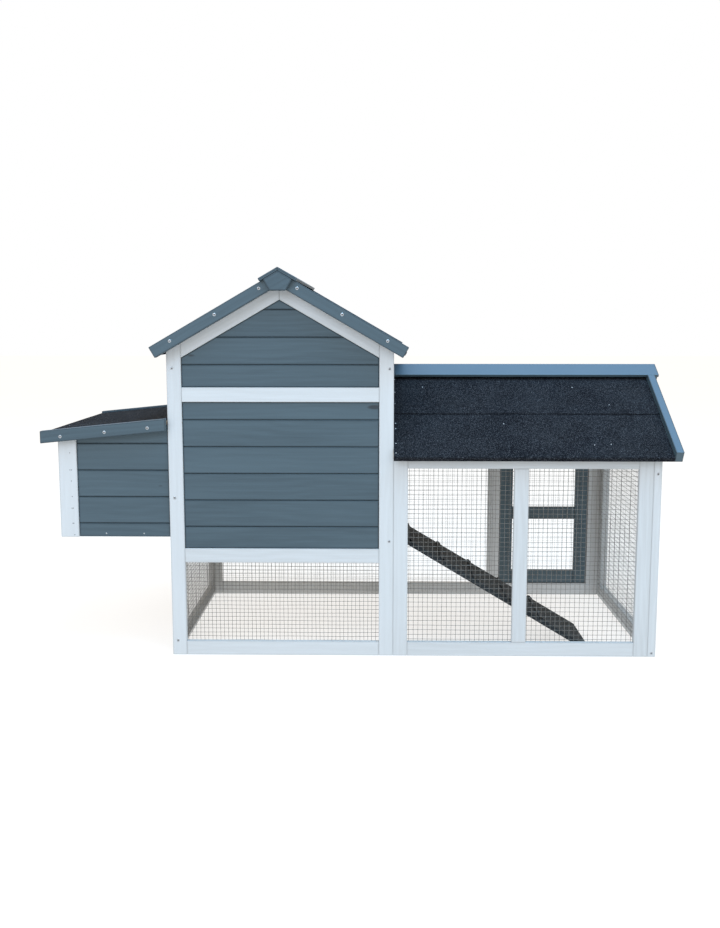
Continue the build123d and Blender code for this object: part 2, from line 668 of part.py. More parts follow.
HOUSE_DOOR_LEFT = LEFT + FRAME_WIDTH + DOOR_GAP
HOUSE_DOOR_RIGHT = RIGHT - FRAME_WIDTH - DOOR_GAP
house_door_z = (DOOR_SILL_TOP + DOOR_GAP, MID_RAIL - DOOR_GAP)
for x0 in (HOUSE_DOOR_LEFT, HOUSE_DOOR_RIGHT - FRAME_WIDTH):
    add("house_door_frame", block(x0, x0 + FRAME_WIDTH, *door_y, *house_door_z))
rail_x = (HOUSE_DOOR_LEFT + FRAME_WIDTH, HOUSE_DOOR_RIGHT - FRAME_WIDTH)
for z0 in (house_door_z[0], house_door_z[1] - FRAME_WIDTH):
    add("house_door_frame", block(*rail_x, *door_y, z0, z0 + FRAME_WIDTH))
board_y = (BACK - BOARD_RECESS - BOARD, BACK - BOARD_RECESS)
steps = board_steps(house_door_z[0] + FRAME_WIDTH, house_door_z[1] - FRAME_WIDTH)
for low, high in zip(steps, steps[1:]):
    add("house_door_boards", block(*rail_x, *board_y, low, high))

pan_x = (LEFT + FRAME_WIDTH + 2 * TRAY_GAP, RIGHT - FRAME_WIDTH - 2 * TRAY_GAP)
pan_y = (SIDE_FRONT + FRAME_WIDTH, BACK - PANEL)
pan_z = (floor_top + TRAY_LIFT, floor_top + TRAY_LIFT + TRAY_WALL)
pan = block(*pan_x, *pan_y, *pan_z)
hollow = block(
    pan_x[0] + TRAY_SHEET,
    pan_x[1] - TRAY_SHEET,
    pan_y[0] + TRAY_SHEET,
    pan_y[1] - TRAY_SHEET,
    pan_z[0] + TRAY_SHEET,
    pan_z[1] + TRAY_SHEET,
)
add("tray_pan", pan - hollow)
front_x = (LEFT + FRAME_WIDTH + TRAY_GAP, RIGHT - FRAME_WIDTH - TRAY_GAP)
front_z = (FLOOR_RAIL_TOP + TRAY_GAP, TRAY_SLOT_TOP - TRAY_GAP)
add("tray_front", block(*front_x, *door_y, *front_z))
handle_z = (front_z[0] + front_z[1]) / 2
add(
    "tray_handle",
    block(
        MIDDLE - HANDLE_LENGTH / 2,
        MIDDLE + HANDLE_LENGTH / 2,
        BACK,
        BACK + HANDLE_SECTION,
        handle_z - HANDLE_SECTION / 2,
        handle_z + HANDLE_SECTION / 2,
    ),
)

wall_inner = RIGHT - PANEL
pop_x = (wall_inner - SLIP - POP_DOOR, wall_inner - SLIP)
pop_z = (POP_HOLE_SILL + SLIP, POP_TOP + POP_DOOR_LAP)
pop_width = POP_HOLE_WIDTH + 2 * POP_DOOR_LAP
pop_open = POP_FRONT + pop_width
add("pop_door", block(*pop_x, pop_open, pop_open + pop_width, *pop_z))
knob_y = pop_open + pop_width / 2
knob_z = (pop_z[0] + pop_z[1]) / 2
knob = Pos(pop_x[0] - RUNNER_DEPTH / 2, knob_y, knob_z) * Rot(0, 90, 0)
add("pop_door", knob * Cylinder(RUNNER_DEPTH, RUNNER_DEPTH))
runner_y = (POP_FRONT - POP_DOOR_LAP - SLIP, pop_open + pop_width + SLIP)
spacer_x = (pop_x[0] - SLIP, wall_inner)
strip_x = (spacer_x[0] - RUNNER_STRIP, spacer_x[0])
add(
    "pop_door_runners",
    block(*spacer_x, *runner_y, pop_z[0] - SLIP - RUNNER_DEPTH, pop_z[0] - SLIP),
    block(*spacer_x, *runner_y, pop_z[1] + SLIP, pop_z[1] + SLIP + RUNNER_DEPTH),
    block(*strip_x, *runner_y, pop_z[0] - RUNNER_DEPTH, pop_z[0] + RUNNER_DEPTH),
    block(*strip_x, *runner_y, pop_z[1] - RUNNER_DEPTH, pop_z[1] + RUNNER_DEPTH),
)

# ---------------------------------------------------------------- hinges and turn buttons


def hinge_leaf(where, radius, knuckles, plate, tongue):
    """One leaf about a local Z axis: knuckles, the plate, and the tongues that join them.

    plate and tongue are (x0, x1, y0, y1) in the hinge's own frame.
    """
    half = HINGE_LENGTH / 2
    leaf = block(*plate, -half, half)
    for low, high in knuckles:
        leaf += block(*tongue, low, high)
        leaf += Pos(0, 0, (low + high) / 2) * Cylinder(radius, high - low)
    leaf -= Cylinder(PIN_RADIUS + PIN_CLEARANCE, HINGE_LENGTH + 2 * CUT_OVERRUN)
    return where.location * leaf


HALF = HINGE_LENGTH / 2
OUTER_KNUCKLES = (
    (-HALF, -HINGE_MIDDLE / 2 - HINGE_END_GAP),
    (HINGE_MIDDLE / 2 + HINGE_END_GAP, HALF),
)
MIDDLE_KNUCKLE = ((-HINGE_MIDDLE / 2, HINGE_MIDDLE / 2),)


def door_hinge(x, z, door_side, leaves):
    """A surface hinge on the back face; door_side is +1 if the door lies towards +X."""
    where = Plane(
        origin=(x, BACK + KNUCKLE_RADIUS, z),
        x_dir=(door_side, 0, 0),
        z_dir=(0, 0, door_side),
    )
    near = KNUCKLE_RADIUS + HINGE_END_GAP
    face = (-KNUCKLE_RADIUS, -KNUCKLE_RADIUS + HINGE_LEAF)
    fixed = ((-HINGE_LEAF_WIDTH, -near, *face), (-near, 0, *face))
    moving = ((near, HINGE_LEAF_WIDTH, *face), (0, near, *face))
    add("hinge_fixed_leaves", hinge_leaf(where, KNUCKLE_RADIUS, OUTER_KNUCKLES, *fixed))
    add(leaves, hinge_leaf(where, KNUCKLE_RADIUS, MIDDLE_KNUCKLE, *moving))
    add("hinge_pins", where.location * Cylinder(PIN_RADIUS, HINGE_LENGTH))


for z in (run_door_z[0] + RUN_HINGE_INSET, run_door_z[1] - RUN_HINGE_INSET):
    door_hinge(RUN_DOOR_RIGHT + DOOR_GAP / 2, z, -1, "run_door_hinge_leaves")
for z in (house_door_z[0] + HOUSE_HINGE_INSET, house_door_z[1] - HOUSE_HINGE_INSET):
    door_hinge(HOUSE_DOOR_LEFT - DOOR_GAP / 2, z, 1, "house_door_hinge_leaves")

LID_AXIS_Z = lid_top(LID_GAP) - LID_FASCIA_PROUD / LID_COS + LID_KNUCKLE_RADIUS + SLIP
LID_AXIS_X = LEFT - LID_KNUCKLE_RADIUS - SLIP / 2
to_wall = LEFT - LID_AXIS_X
to_lid = LEFT - LID_GAP - LID_AXIS_X
lid_near = -LID_KNUCKLE_RADIUS - SLIP
for y in (nest_y[0] + bay / 2, nest_y[1] - bay / 2):
    where = Plane(origin=(LID_AXIS_X, y, LID_AXIS_Z), x_dir=(1, 0, 0), z_dir=(0, -1, 0))
    wall_leaf = (to_wall - LID_LEAF, to_wall)
    lid_leaf = (to_lid, to_lid + LID_LEAF)
    down = (-LID_LEAF_WIDTH, lid_near)
    add(
        "hinge_fixed_leaves",
        hinge_leaf(
            where,
            LID_KNUCKLE_RADIUS,
            OUTER_KNUCKLES,
            (*wall_leaf, *down),
            (*wall_leaf, lid_near, 0),
        ),
    )
    add(
        "nest_lid_hinge_leaves",
        hinge_leaf(
            where,
            LID_KNUCKLE_RADIUS,
            MIDDLE_KNUCKLE,
            (*lid_leaf, *down),
            (*lid_leaf, lid_near, 0),
        ),
    )
    add("hinge_pins", where.location * Cylinder(PIN_RADIUS, HINGE_LENGTH))


def turn_button(name, x, z):
    """A button on the fixed frame, standing upright and clear of the door, on one screw."""
    y0 = BACK + SLIP
    bar = block(
        x - BUTTON_WIDTH / 2,
        x + BUTTON_WIDTH / 2,
        y0,
        y0 + BUTTON_THICKNESS,
        z - BUTTON_LENGTH / 2,
        z + BUTTON_LENGTH / 2,
    )
    hole_radius = BUTTON_SCREW + PIN_CLEARANCE
    hole = Pos(x, y0 + BUTTON_THICKNESS / 2, z) * Rot(90, 0, 0)
    bar -= hole * Cylinder(hole_radius, BUTTON_THICKNESS + 2 * CUT_OVERRUN)
    add(name, bar)
    shank_length = BUTTON_THICKNESS + 2 * SLIP + PANEL / 2
    shank_y = BACK - PANEL / 2 + shank_length / 2
    add("button_screws", Pos(x, shank_y, z) * Rot(90, 0, 0) * Cylinder(BUTTON_SCREW, shank_length))
    head_y = BACK - PANEL / 2 + shank_length + SCREW_HEAD_HEIGHT / 2
    head = Pos(x, head_y, z) * Rot(90, 0, 0) * Cylinder(SCREW_HEAD, SCREW_HEAD_HEIGHT)
    parts["button_screws"][-1] += head


BUTTON_REACH = FRAME_WIDTH / 2
turn_button("run_door_button", RUN_DOOR_LEFT - DOOR_GAP - BUTTON_REACH, RUN_DOOR_MID_RAIL)
turn_button(
    "house_door_button",
    HOUSE_DOOR_RIGHT + DOOR_GAP + BUTTON_REACH,
    RUN_EAVE_HEIGHT + BUTTON_LENGTH,  # it turns clear of the run's roof
)

# ---------------------------------------------------------------- screws


def screw(name, point, direction):
    """A screw whose head lies on point, with its shank along direction."""
    where = Plane(origin=point, z_dir=direction)
    head = Pos(0, 0, -SCREW_HEAD_HEIGHT / 2) * Cylinder(SCREW_HEAD, SCREW_HEAD_HEIGHT)
    shank = Pos(0, 0, SCREW_LENGTH / 2) * Cylinder(SCREW_SHANK, SCREW_LENGTH)
    add(name, where.location * (head + shank))


house_barge_mid = BARGE_HEIGHT / 2 - HOUSE_BARGE_DROP + BARGE_SCREW_RISE
barge_start = eave_start(BARGE_HEIGHT - HOUSE_BARGE_DROP)
barge_length = (HOUSE_WIDTH / 2) / PITCH_COS - barge_start
for share in BARGE_SCREWS:
    along = barge_start + share * barge_length
    level, z = slope_point(along, house_barge_mid, HOUSE_EAVE_HEIGHT)
    for x in (LEFT + level, RIGHT - level):
        screw("frame_screws", (x, FRONT - HOUSE_GABLE_OVERHANG, z), (0, 1, 0))
        screw("frame_screws", (x, BACK + HOUSE_GABLE_OVERHANG, z), (0, -1, 0))
for x, heights in (
    (LEFT + POST_SCREW_INSET, LEFT_POST_SCREWS),
    (RIGHT - RIGHT_SCREW_INSET, RIGHT_POST_SCREWS),
    (END - RUN_END_PANEL / 2, END_STRIP_SCREWS),
):
    for z in heights:
        screw("frame_screws", (x, FRONT, z), (0, 1, 0))
        screw("frame_screws", (x, BACK, z), (0, -1, 0))
for share in LID_SCREWS:
    reach = LID_REACH * (1 - share)
    z = lid_top(reach) - LID_SCREW_DROP
    screw("nest_lid_screws", (LEFT - reach, lid_y[0] - LID_FASCIA, z), (0, 1, 0))
    screw("nest_lid_screws", (LEFT - reach, lid_y[1] + LID_FASCIA, z), (0, -1, 0))

# ---------------------------------------------------------------- write the sub-parts

os.makedirs("parts", exist_ok=True)
for name, solids in parts.items():
    flat = [solid for shape in solids for solid in shape.solids()]
    export_step(Compound(children=flat) if len(flat) > 1 else flat[0], f"parts/{name}.step")
print(len(parts), "nodes,", sum(len(shape.solids()) for s in parts.values() for shape in s), "solids")
print("house ridge", round(HOUSE_APEX, 1), "run ridge", round(RUN_APEX, 1))
print("lid axis", round(LID_AXIS_X, 2), round(LID_AXIS_Z, 2))
print("run door axis", round(RUN_DOOR_RIGHT + DOOR_GAP / 2, 2), BACK + KNUCKLE_RADIUS)
print("house door axis", round(HOUSE_DOOR_LEFT - DOOR_GAP / 2, 2))
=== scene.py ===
# %% Load the frame
import json
from math import cos, pi, radians, sin

import bmesh
import bpy
import numpy as np
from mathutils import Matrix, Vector


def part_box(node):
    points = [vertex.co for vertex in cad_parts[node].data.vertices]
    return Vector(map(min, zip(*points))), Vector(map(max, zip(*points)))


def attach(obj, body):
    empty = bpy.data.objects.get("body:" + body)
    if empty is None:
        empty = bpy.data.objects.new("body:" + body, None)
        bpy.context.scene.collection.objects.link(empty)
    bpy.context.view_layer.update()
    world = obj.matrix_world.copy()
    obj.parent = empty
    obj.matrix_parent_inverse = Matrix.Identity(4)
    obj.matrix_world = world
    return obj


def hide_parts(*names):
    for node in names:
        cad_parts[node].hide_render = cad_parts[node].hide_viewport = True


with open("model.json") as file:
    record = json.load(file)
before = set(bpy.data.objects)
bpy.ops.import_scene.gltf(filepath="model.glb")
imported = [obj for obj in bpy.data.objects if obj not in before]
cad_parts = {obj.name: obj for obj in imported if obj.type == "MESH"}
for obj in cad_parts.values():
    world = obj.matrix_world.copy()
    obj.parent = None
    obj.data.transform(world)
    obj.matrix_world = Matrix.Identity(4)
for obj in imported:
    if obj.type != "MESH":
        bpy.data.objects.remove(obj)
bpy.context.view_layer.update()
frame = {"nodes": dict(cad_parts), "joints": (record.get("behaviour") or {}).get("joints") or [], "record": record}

nodes = frame["nodes"]
body_of = {n: body for body, members in frame["record"]["behaviour"]["bodies"].items() for n in members}
slot_of = {part["node"]: part["material_slot"] for part in frame["record"]["subparts"]}
MM = 0.001
SNAP = 0.01 * MM  # corners closer than this are one corner
LEVEL = 0.02 * MM  # how far a corner may lie off a flat face
MATCH = 0.05 * MM  # how closely a stick's two end faces agree

# %% [markdown]
# # A timber chicken coop
#
# This lesson dresses a joiner's model of a chicken coop: a gabled house, a nest box with a
# hinged lid on its left and a wire run on its right. The model that we loaded has every part
# at its true place, but sharp-edged and bare. Each part is rebuilt here with the rounded
# edges, board joints, wires and finishes that the real one has, at exactly the same place.

# %% [markdown]
# ## Finding the sticks of wood
#
# A part such as "corner posts" holds several separate sticks. Each stick is a flat outline
# pushed straight through its thickness, so it is enough to find that outline, the direction
# of the push and its two ends. We could type every size again by hand, but reading them from
# the frame keeps each new piece exactly where the joiner put it.

# %% Split a part into its closed solids
def triangles_of(node):
    """Corner places of a part's triangles, as an array (triangle, corner, xyz)."""
    mesh = nodes[node].data
    mesh.calc_loop_triangles()
    corners = np.zeros(len(mesh.loop_triangles) * 3, np.int32)
    mesh.loop_triangles.foreach_get("vertices", corners)
    places = np.zeros(len(mesh.vertices) * 3)
    mesh.vertices.foreach_get("co", places)
    return places.reshape(-1, 3)[corners.reshape(-1, 3)]


def solids_of(node):
    """The part's closed solids, each an array of triangles.

    A closed solid uses each of its edges twice. The uses are paired in file order; a place
    between two triangles that no pair spans is where one solid ends and the next begins.
    """
    triangles = triangles_of(node)
    keys = np.round(triangles.reshape(-1, 3) / SNAP).astype(np.int64)
    ids = np.unique(keys, axis=0, return_inverse=True)[1].reshape(-1, 3)
    edges = np.sort(np.stack([ids, np.roll(ids, -1, 1)], -1), -1).reshape(-1, 2)
    owner = np.repeat(np.arange(len(ids)), 3)
    edge = np.unique(edges, axis=0, return_inverse=True)[1].reshape(-1)
    order = np.lexsort((owner, edge))
    spans = np.zeros(len(ids) + 1, int)
    np.add.at(spans, owner[order[0::2]], 1)
    np.add.at(spans, owner[order[1::2]], -1)
    ends = np.flatnonzero(np.cumsum(spans)[:-1] == 0) + 1
    return np.split(triangles, ends[:-1])


print("corner posts hold", len(solids_of("house_corner_posts")), "sticks")


# %% Read the outline of one stick
def outline_of(cap):
    """The anticlockwise outer edge of flat triangles (triangle, corner, uv).

    A side belongs to the edge if no other triangle runs along it the other way. The sides
    are chained end to end, points in the middle of a straight run are dropped, and the loop
    with the largest area is kept.
    """
    keys = np.round(cap.reshape(-1, 2) / SNAP).astype(np.int64)
    unique, first, ids = np.unique(keys, axis=0, return_index=True, return_inverse=True)
    places = cap.reshape(-1, 2)[first]
    ids = ids.reshape(-1, 3)
    sides = {(a, b) for tri in ids.tolist() for a, b in zip(tri, tri[1:] + tri[:1])}
    following = {a: b for a, b in sides if (b, a) not in sides}
    loops = []
    while following:
        start, here = following.popitem()
        loop = [start]
        while here != start:
            loop.append(here)
            here = following.pop(here)
        loops.append(places[loop])
    areas = [np.sum(p[:, 0] * np.roll(p[:, 1], -1) - np.roll(p[:, 0], -1) * p[:, 1]) for p in loops]
    best = int(np.argmax(np.abs(areas)))
    outline = loops[best] if areas[best] > 0 else loops[best][::-1]
    ahead = np.roll(outline, -1, 0) - outline
    behind = outline - np.roll(outline, 1, 0)
    turn = behind[:, 0] * ahead[:, 1] - behind[:, 1] * ahead[:, 0]
    straight = np.abs(turn) < 1e-4 * np.linalg.norm(ahead, axis=1) * np.linalg.norm(behind, axis=1)
    return outline[~straight]


def prism_of(triangles):
    """(axis, low, high, outline) of a solid that is pushed straight along one axis.

    The axis is one along which the solid has only two levels, with the same corners seen
    from the end on both. The thinnest such direction is taken.
    """
    points = triangles.reshape(-1, 3)
    for axis in np.argsort(np.ptp(points, axis=0)):
        low, high = points[:, axis].min(), points[:, axis].max()
        on_low = np.abs(points[:, axis] - low) < LEVEL
        on_high = np.abs(points[:, axis] - high) < LEVEL
        if not np.all(on_low | on_high):
            continue
        plane = [(axis + 1) % 3, (axis + 2) % 3]
        seen = [np.unique(np.round(points[on][:, plane] / MATCH), axis=0) for on in (on_low, on_high)]
        if seen[0].shape == seen[1].shape and np.allclose(seen[0], seen[1], atol=1):
            flat = np.all(np.abs(triangles[:, :, axis] - low) < LEVEL, axis=1)
            return int(axis), low, high, outline_of(triangles[flat][:, :, plane])
    return None


axis, low, high, outline = prism_of(solids_of("house_rafters")[0])
print("a rafter runs", round((high - low) / MM), "mm along axis", axis, "with", len(outline), "corners")


# %% [markdown]
# ## Planing a stick
#
# Sawn and planed wood never has a knife-sharp edge: the arris is taken off, which catches a
# fine line of light. A Bevel modifier could do that, but the modelled sticks are loose
# triangles. A stack of rings is simpler: the outline, moved inward a little on the first
# ring, full size on the next, and moved inward again on the last. Each stick also stores
# where every point lies along, across and into its own grain, because the fibres of a
# sloping rafter run up the slope, not along the world's axes.

# %% Outline tools
SMALLEST_CORNER = 0.15 * MM
FACE_RING = 4 * MM  # how far inside a face's edge its last ring lies


def inset(outline, amount):
    """Moves every side of an anticlockwise outline inward by one amount.

    A corner moves by amount times the sum of its sides' inward unit normals over one plus
    the normals' dot product.
    """
    side = np.roll(outline, -1, 0) - outline
    normal = np.stack([-side[:, 1], side[:, 0]], 1) / np.linalg.norm(side, axis=1, keepdims=True)
    before = np.roll(normal, 1, 0)
    return outline + amount * (normal + before) / (1 + np.sum(normal * before, axis=1, keepdims=True))


def rounded(outline, radius, steps=3):
    """Rounds each corner with a parabola that starts and ends at radius along its sides:
    (1 - t)^2 start + 2 t (1 - t) corner + t^2 end."""
    back = np.roll(outline, 1, 0) - outline
    ahead = np.roll(outline, -1, 0) - outline
    back_length = np.linalg.norm(back, axis=1, keepdims=True)
    ahead_length = np.linalg.norm(ahead, axis=1, keepdims=True)
    cut = np.minimum(radius, 0.3 * np.minimum(back_length, ahead_length))
    t = np.linspace(0, 1, steps)[None, :, None]
    start = (outline + back / back_length * cut)[:, None]
    end = (outline + ahead / ahead_length * cut)[:, None]
    return ((1 - t) ** 2 * start + 2 * t * (1 - t) * outline[:, None] + t**2 * end).reshape(-1, 2)


# %% A stack of rings
def ring_stack(outline, axis, rings, radius):
    """Vertices and faces of a closed solid made of one outline repeated in rings.

    rings holds (level along the axis, inset, edge) from the low end to the high end. Each
    ring is the outline moved inward, then its corners rounded with what is left of the
    radius. The first and last ring are closed with one flat face each.
    """
    axes = [axis, (axis + 1) % 3, (axis + 2) % 3]
    loops = [rounded(inset(outline, ring[1]), max(radius - ring[1], SMALLEST_CORNER)) for ring in rings]
    count = len(loops[0])
    places = np.zeros((len(rings), count, 3))
    places[:, :, axes[0]] = np.array([ring[0] for ring in rings])[:, None]
    places[:, :, axes[1:]] = np.stack(loops)
    index = np.arange(len(rings) * count).reshape(len(rings), count)
    after = np.roll(index, -1, 1)
    quads = np.stack([index[:-1], after[:-1], after[1:], index[1:]], -1).reshape(-1, 4)
    faces = quads.tolist() + [index[0, ::-1].tolist(), index[-1].tolist()]
    edge = np.repeat([float(ring[2]) for ring in rings], count)
    return places.reshape(-1, 3), faces, edge


def planed_rings(low, high, arris):
    """Rings of a stick whose two faces have their edges taken off by a quarter round."""
    middle = min(FACE_RING, (high - low) / 4)
    side = [(0, arris + FACE_RING, 0), (0, arris, 1), (0.3 * arris, 0.3 * arris, 1), (arris, 0, 1)]
    side.append((arris + middle, 0, 0))
    start = [(low + level, into, edge) for level, into, edge in side]
    return start + [(high - level, into, edge) for level, into, edge in reversed(side)]


def grain_of(places, axis, outline, rng):
    """Along, across and into the grain, in metres, with a random start for each stick.

    The grain follows the longest side of the outline, or the push where that is longer.
    """
    plane = [(axis + 1) % 3, (axis + 2) % 3]
    sides = np.roll(outline, -1, 0) - outline
    longest = sides[np.argmax(np.linalg.norm(sides, axis=1))]
    along = np.zeros(3)
    if np.ptp(places[:, axis]) > np.linalg.norm(longest):
        along[axis] = 1.0
    else:
        along[plane] = longest / np.linalg.norm(longest)
    into = np.eye(3)[axis] if along[axis] == 0 else np.eye(3)[plane[0]]
    frame_of_grain = np.stack([along, np.cross(into, along), into], 1)
    return places @ frame_of_grain + rng.uniform(3, 60, 3)


# %% [markdown]
# ## From arrays to an object
#
# Blender draws a mesh from a list of points and a list of faces. One part of the coop often
# has many sticks, so their arrays are joined and become one object, which is quicker to handle
# than one object each. Values such as the grain travel with the points as attributes, and the
# finish reads them by name.

# %% Collect sticks into one object
POINT_VALUES = (("grain", "FLOAT_VECTOR", "vector"), ("edge", "FLOAT", "value"), ("tone", "FLOAT", "value"))
SPREAD = 7919  # a prime, so that like names start far apart


def make_object(name, shapes, material, smooth=False):
    """One mesh object from several shapes.

    A shape holds places and faces. Wood adds grain, edge and tone, and a metal head adds
    tone. They become point attributes that the finish reads.
    """
    places = np.concatenate([shape["places"] for shape in shapes])
    starts = np.cumsum([0] + [len(shape["places"]) for shape in shapes[:-1]])
    faces = [[i + start for i in face] for shape, start in zip(shapes, starts) for face in shape["faces"]]
    mesh = bpy.data.meshes.new(name)
    mesh.from_pydata(places.tolist(), [], faces)
    for key, kind, field in POINT_VALUES:
        if key in shapes[0]:
            values = np.concatenate([shape[key] for shape in shapes]).astype(np.float32)
            mesh.attributes.new(key, kind, "POINT").data.foreach_set(field, values.reshape(-1))
    mesh.polygons.foreach_set("use_smooth", np.full(len(mesh.polygons), smooth))
    mesh.materials.append(material)
    mesh.validate()
    made = bpy.data.objects.new(name, mesh)
    bpy.context.scene.collection.objects.link(made)
    return made


def stand_for(made, *replaced):
    """The new piece rides on the body of the parts that it stands for, and hides them."""
    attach(made, body_of[replaced[0]])
    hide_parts(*replaced)


def seeded(name):
    """A random source that always gives the same numbers for the same name."""
    return np.random.default_rng(sum(name.encode()) * SPREAD + len(name))


def stick(triangles, rng, arris):
    """A planed stick from one solid of the frame."""
    axis, low, high, outline = prism_of(triangles)
    arris = min(arris, (high - low) / 5)
    places, faces, edge = ring_stack(outline, axis, planed_rings(low, high, arris), 1.3 * arris)
    tone = np.full(len(places), rng.uniform(0, 1))
    return dict(places=places, faces=faces, edge=edge, tone=tone, grain=grain_of(places, axis, outline, rng))


# %% [markdown]
# ## Node groups for the finishes
#
# Every finish on the coop is some mix of the same few effects: wood figure, worn edges,
# mineral grit and zinc spangle. Each is built once as a node group with named sockets, and
# the materials below set their own strengths. The groups only give out masks and values; the
# shader stays in the material.

# %% Small helpers for node trees
def put(tree, kind, inputs=(), **settings):
    """Adds a node, sets its properties, and sets or links its inputs."""
    made = tree.nodes.new(kind)
    for key, value in settings.items():
        setattr(made, key, value)
    for socket, value in dict(inputs).items():
        if isinstance(value, bpy.types.NodeSocket):
            tree.links.new(value, made.inputs[socket])
        else:
            made.inputs[socket].default_value = value
    return made


def maths(tree, operation, *values, clamp=False):
    """One Math node; the values fill its sockets in order."""
    return put(tree, "ShaderNodeMath", enumerate(values), operation=operation, use_clamp=clamp).outputs[0]


def span(tree, value, low, high, to_low=0.0, to_high=1.0):
    """Maps low..high to to_low..to_high, held at both ends."""
    inputs = {0: value, 1: low, 2: high, 3: to_low, 4: to_high}
    return put(tree, "ShaderNodeMapRange", inputs).outputs[0]


def stretched(tree, vector, scale):
    """The vector scaled differently along its three directions."""
    return put(tree, "ShaderNodeVectorMath", {0: vector, 1: scale}, operation="MULTIPLY").outputs[0]


def scaled(tree, vector, factor):
    """The vector made longer by one factor, which may come from a socket."""
    return put(tree, "ShaderNodeVectorMath", {0: vector, "Scale": factor}, operation="SCALE").outputs[0]


def stored(tree, name, output="Fac"):
    """A value that the mesh carries on its points."""
    return put(tree, "ShaderNodeAttribute", attribute_name=name).outputs[output]


def channels(tree, colour):
    """Red, green and blue of a colour; a cell's random colour gives three random values."""
    return put(tree, "ShaderNodeSeparateColor", {0: colour}).outputs


def facing_up(tree):
    """How far the surface faces the sky: the upward part of its normal, -1 to 1."""
    normal = tree.nodes.new("ShaderNodeNewGeometry").outputs["Normal"]
    return put(tree, "ShaderNodeSeparateXYZ", {0: normal}).outputs[2]


def cells(tree, vector, scale, **settings):
    """Scattered cells: how far a place is from its cell's middle, and the cell's colour."""
    made = put(tree, "ShaderNodeTexVoronoi", {"Vector": vector, "Scale": scale}, **settings)
    return made.outputs["Distance"], made.outputs["Color"]


def noise(tree, vector, scale, detail=4.0, roughness=0.55):
    """Noise value, 0 to 1."""
    inputs = {"Vector": vector, "Scale": scale, "Detail": detail, "Roughness": roughness}
    return put(tree, "ShaderNodeTexNoise", inputs).outputs[0]


def blend(tree, share, first, second):
    """Mixes two colours."""
    made = put(tree, "ShaderNodeMix", {0: share}, data_type="RGBA")
    for socket, value in ((made.inputs[6], first), (made.inputs[7], second)):
        if isinstance(value, bpy.types.NodeSocket):
            tree.links.new(value, socket)
        else:
            socket.default_value = (*value, 1.0)
    return made.outputs[2]


def new_group(name, inputs, outputs):
    """An empty node group with named sockets: float inputs hold a default, vectors hold None."""
    group = bpy.data.node_groups.new(name, "ShaderNodeTree")
    for label, default in inputs.items():
        kind = "NodeSocketVector" if default is None else "NodeSocketFloat"
        socket = group.interface.new_socket(label, in_out="INPUT", socket_type=kind)
        if default is not None:
            socket.default_value = default
    for label in outputs:
        group.interface.new_socket(label, in_out="OUTPUT", socket_type="NodeSocketFloat")
    return group, group.nodes.new("NodeGroupInput").outputs, group.nodes.new("NodeGroupOutput").inputs


# %% [markdown]
# ## Wood figure
#
# Planed pine shows fine fibres, broad bands where the saw crosses the year rings, and knots.
# An image could hold them, but it would repeat and blur on long boards. Noise that is stretched
# along the grain gives the fibres, a wavering sine gives the bands, and a few scattered cells
# give the knots.

# %% Wood figure
wood_figure, given, result = new_group(
    "Wood figure", {"Grain": None, "Knots": 0.5}, ["Fibre", "Bands", "Knot", "Height"]
)
fine = noise(wood_figure, stretched(wood_figure, given["Grain"], (14.0, 900.0, 900.0)), 1.0, 3.0)
coarse = noise(wood_figure, stretched(wood_figure, given["Grain"], (5.0, 170.0, 170.0)), 1.0, 4.0, 0.6)
fibre = maths(wood_figure, "MULTIPLY_ADD", fine, 0.45, maths(wood_figure, "MULTIPLY", coarse, 0.55))
waver = noise(wood_figure, stretched(wood_figure, given["Grain"], (2.0, 7.0, 7.0)), 1.0, 2.0)
across = put(wood_figure, "ShaderNodeSeparateXYZ", {0: given["Grain"]}).outputs
ring_phase = maths(wood_figure, "MULTIPLY_ADD", across[1], 300.0, maths(wood_figure, "MULTIPLY", waver, 30.0))
bands = maths(wood_figure, "MULTIPLY_ADD", maths(wood_figure, "SINE", ring_phase), 0.5, 0.5)
knot_place = stretched(wood_figure, given["Grain"], (4.5, 14.0, 3.0))
from_knot, knot_colour = cells(wood_figure, knot_place, 1.0)
chosen = channels(wood_figure, knot_colour)[0]
size = maths(wood_figure, "MULTIPLY", span(wood_figure, chosen, 0.55, 1.0, 0.0, 0.13), given["Knots"])
knot = span(wood_figure, maths(wood_figure, "SUBTRACT", from_knot, size), 0.0, -0.05)
height = maths(wood_figure, "MULTIPLY_ADD", fibre, 0.7, maths(wood_figure, "MULTIPLY", bands, 0.3))
for label, value in (("Fibre", fibre), ("Bands", bands), ("Knot", knot), ("Height", height)):
    wood_figure.links.new(value, result[label])
print("group", wood_figure.name, "gives", [s.name for s in result if s.name])

# %% [markdown]
# ## Wear, dust and painted sky sheen
#
# Paint goes first on the arrises and dust lies on what faces up. On the caps along the roof, a
# painted reflection of the sky makes what faces up paler and bluer. The first follows the edge
# value that the rings store. The other two follow how far the surface faces up.

# %% Worn edges, a fine dust and a painted sky sheen
edge_wear, given, result = new_group("Worn edges", {"Place": None, "Edge": 0.0, "Amount": 0.5}, ["Worn"])
chips = noise(edge_wear, given["Place"], 55.0, 5.0, 0.65)
limit = maths(edge_wear, "SUBTRACT", 0.78, maths(edge_wear, "MULTIPLY", given["Amount"], 0.3))
worn = span(edge_wear, chips, limit, maths(edge_wear, "ADD", limit, 0.08))
edge_wear.links.new(maths(edge_wear, "MULTIPLY", worn, given["Edge"]), result["Worn"])

dust, given, result = new_group("Dust", {"Place": None, "Amount": 0.3}, ["Dusty"])
lying = span(dust, facing_up(dust), 0.35, 0.95)
drift = span(dust, noise(dust, given["Place"], 6.0, 5.0), 0.35, 0.75)
settled = maths(dust, "MULTIPLY", lying, drift)
dust.links.new(maths(dust, "MULTIPLY", settled, given["Amount"]), result["Dusty"])

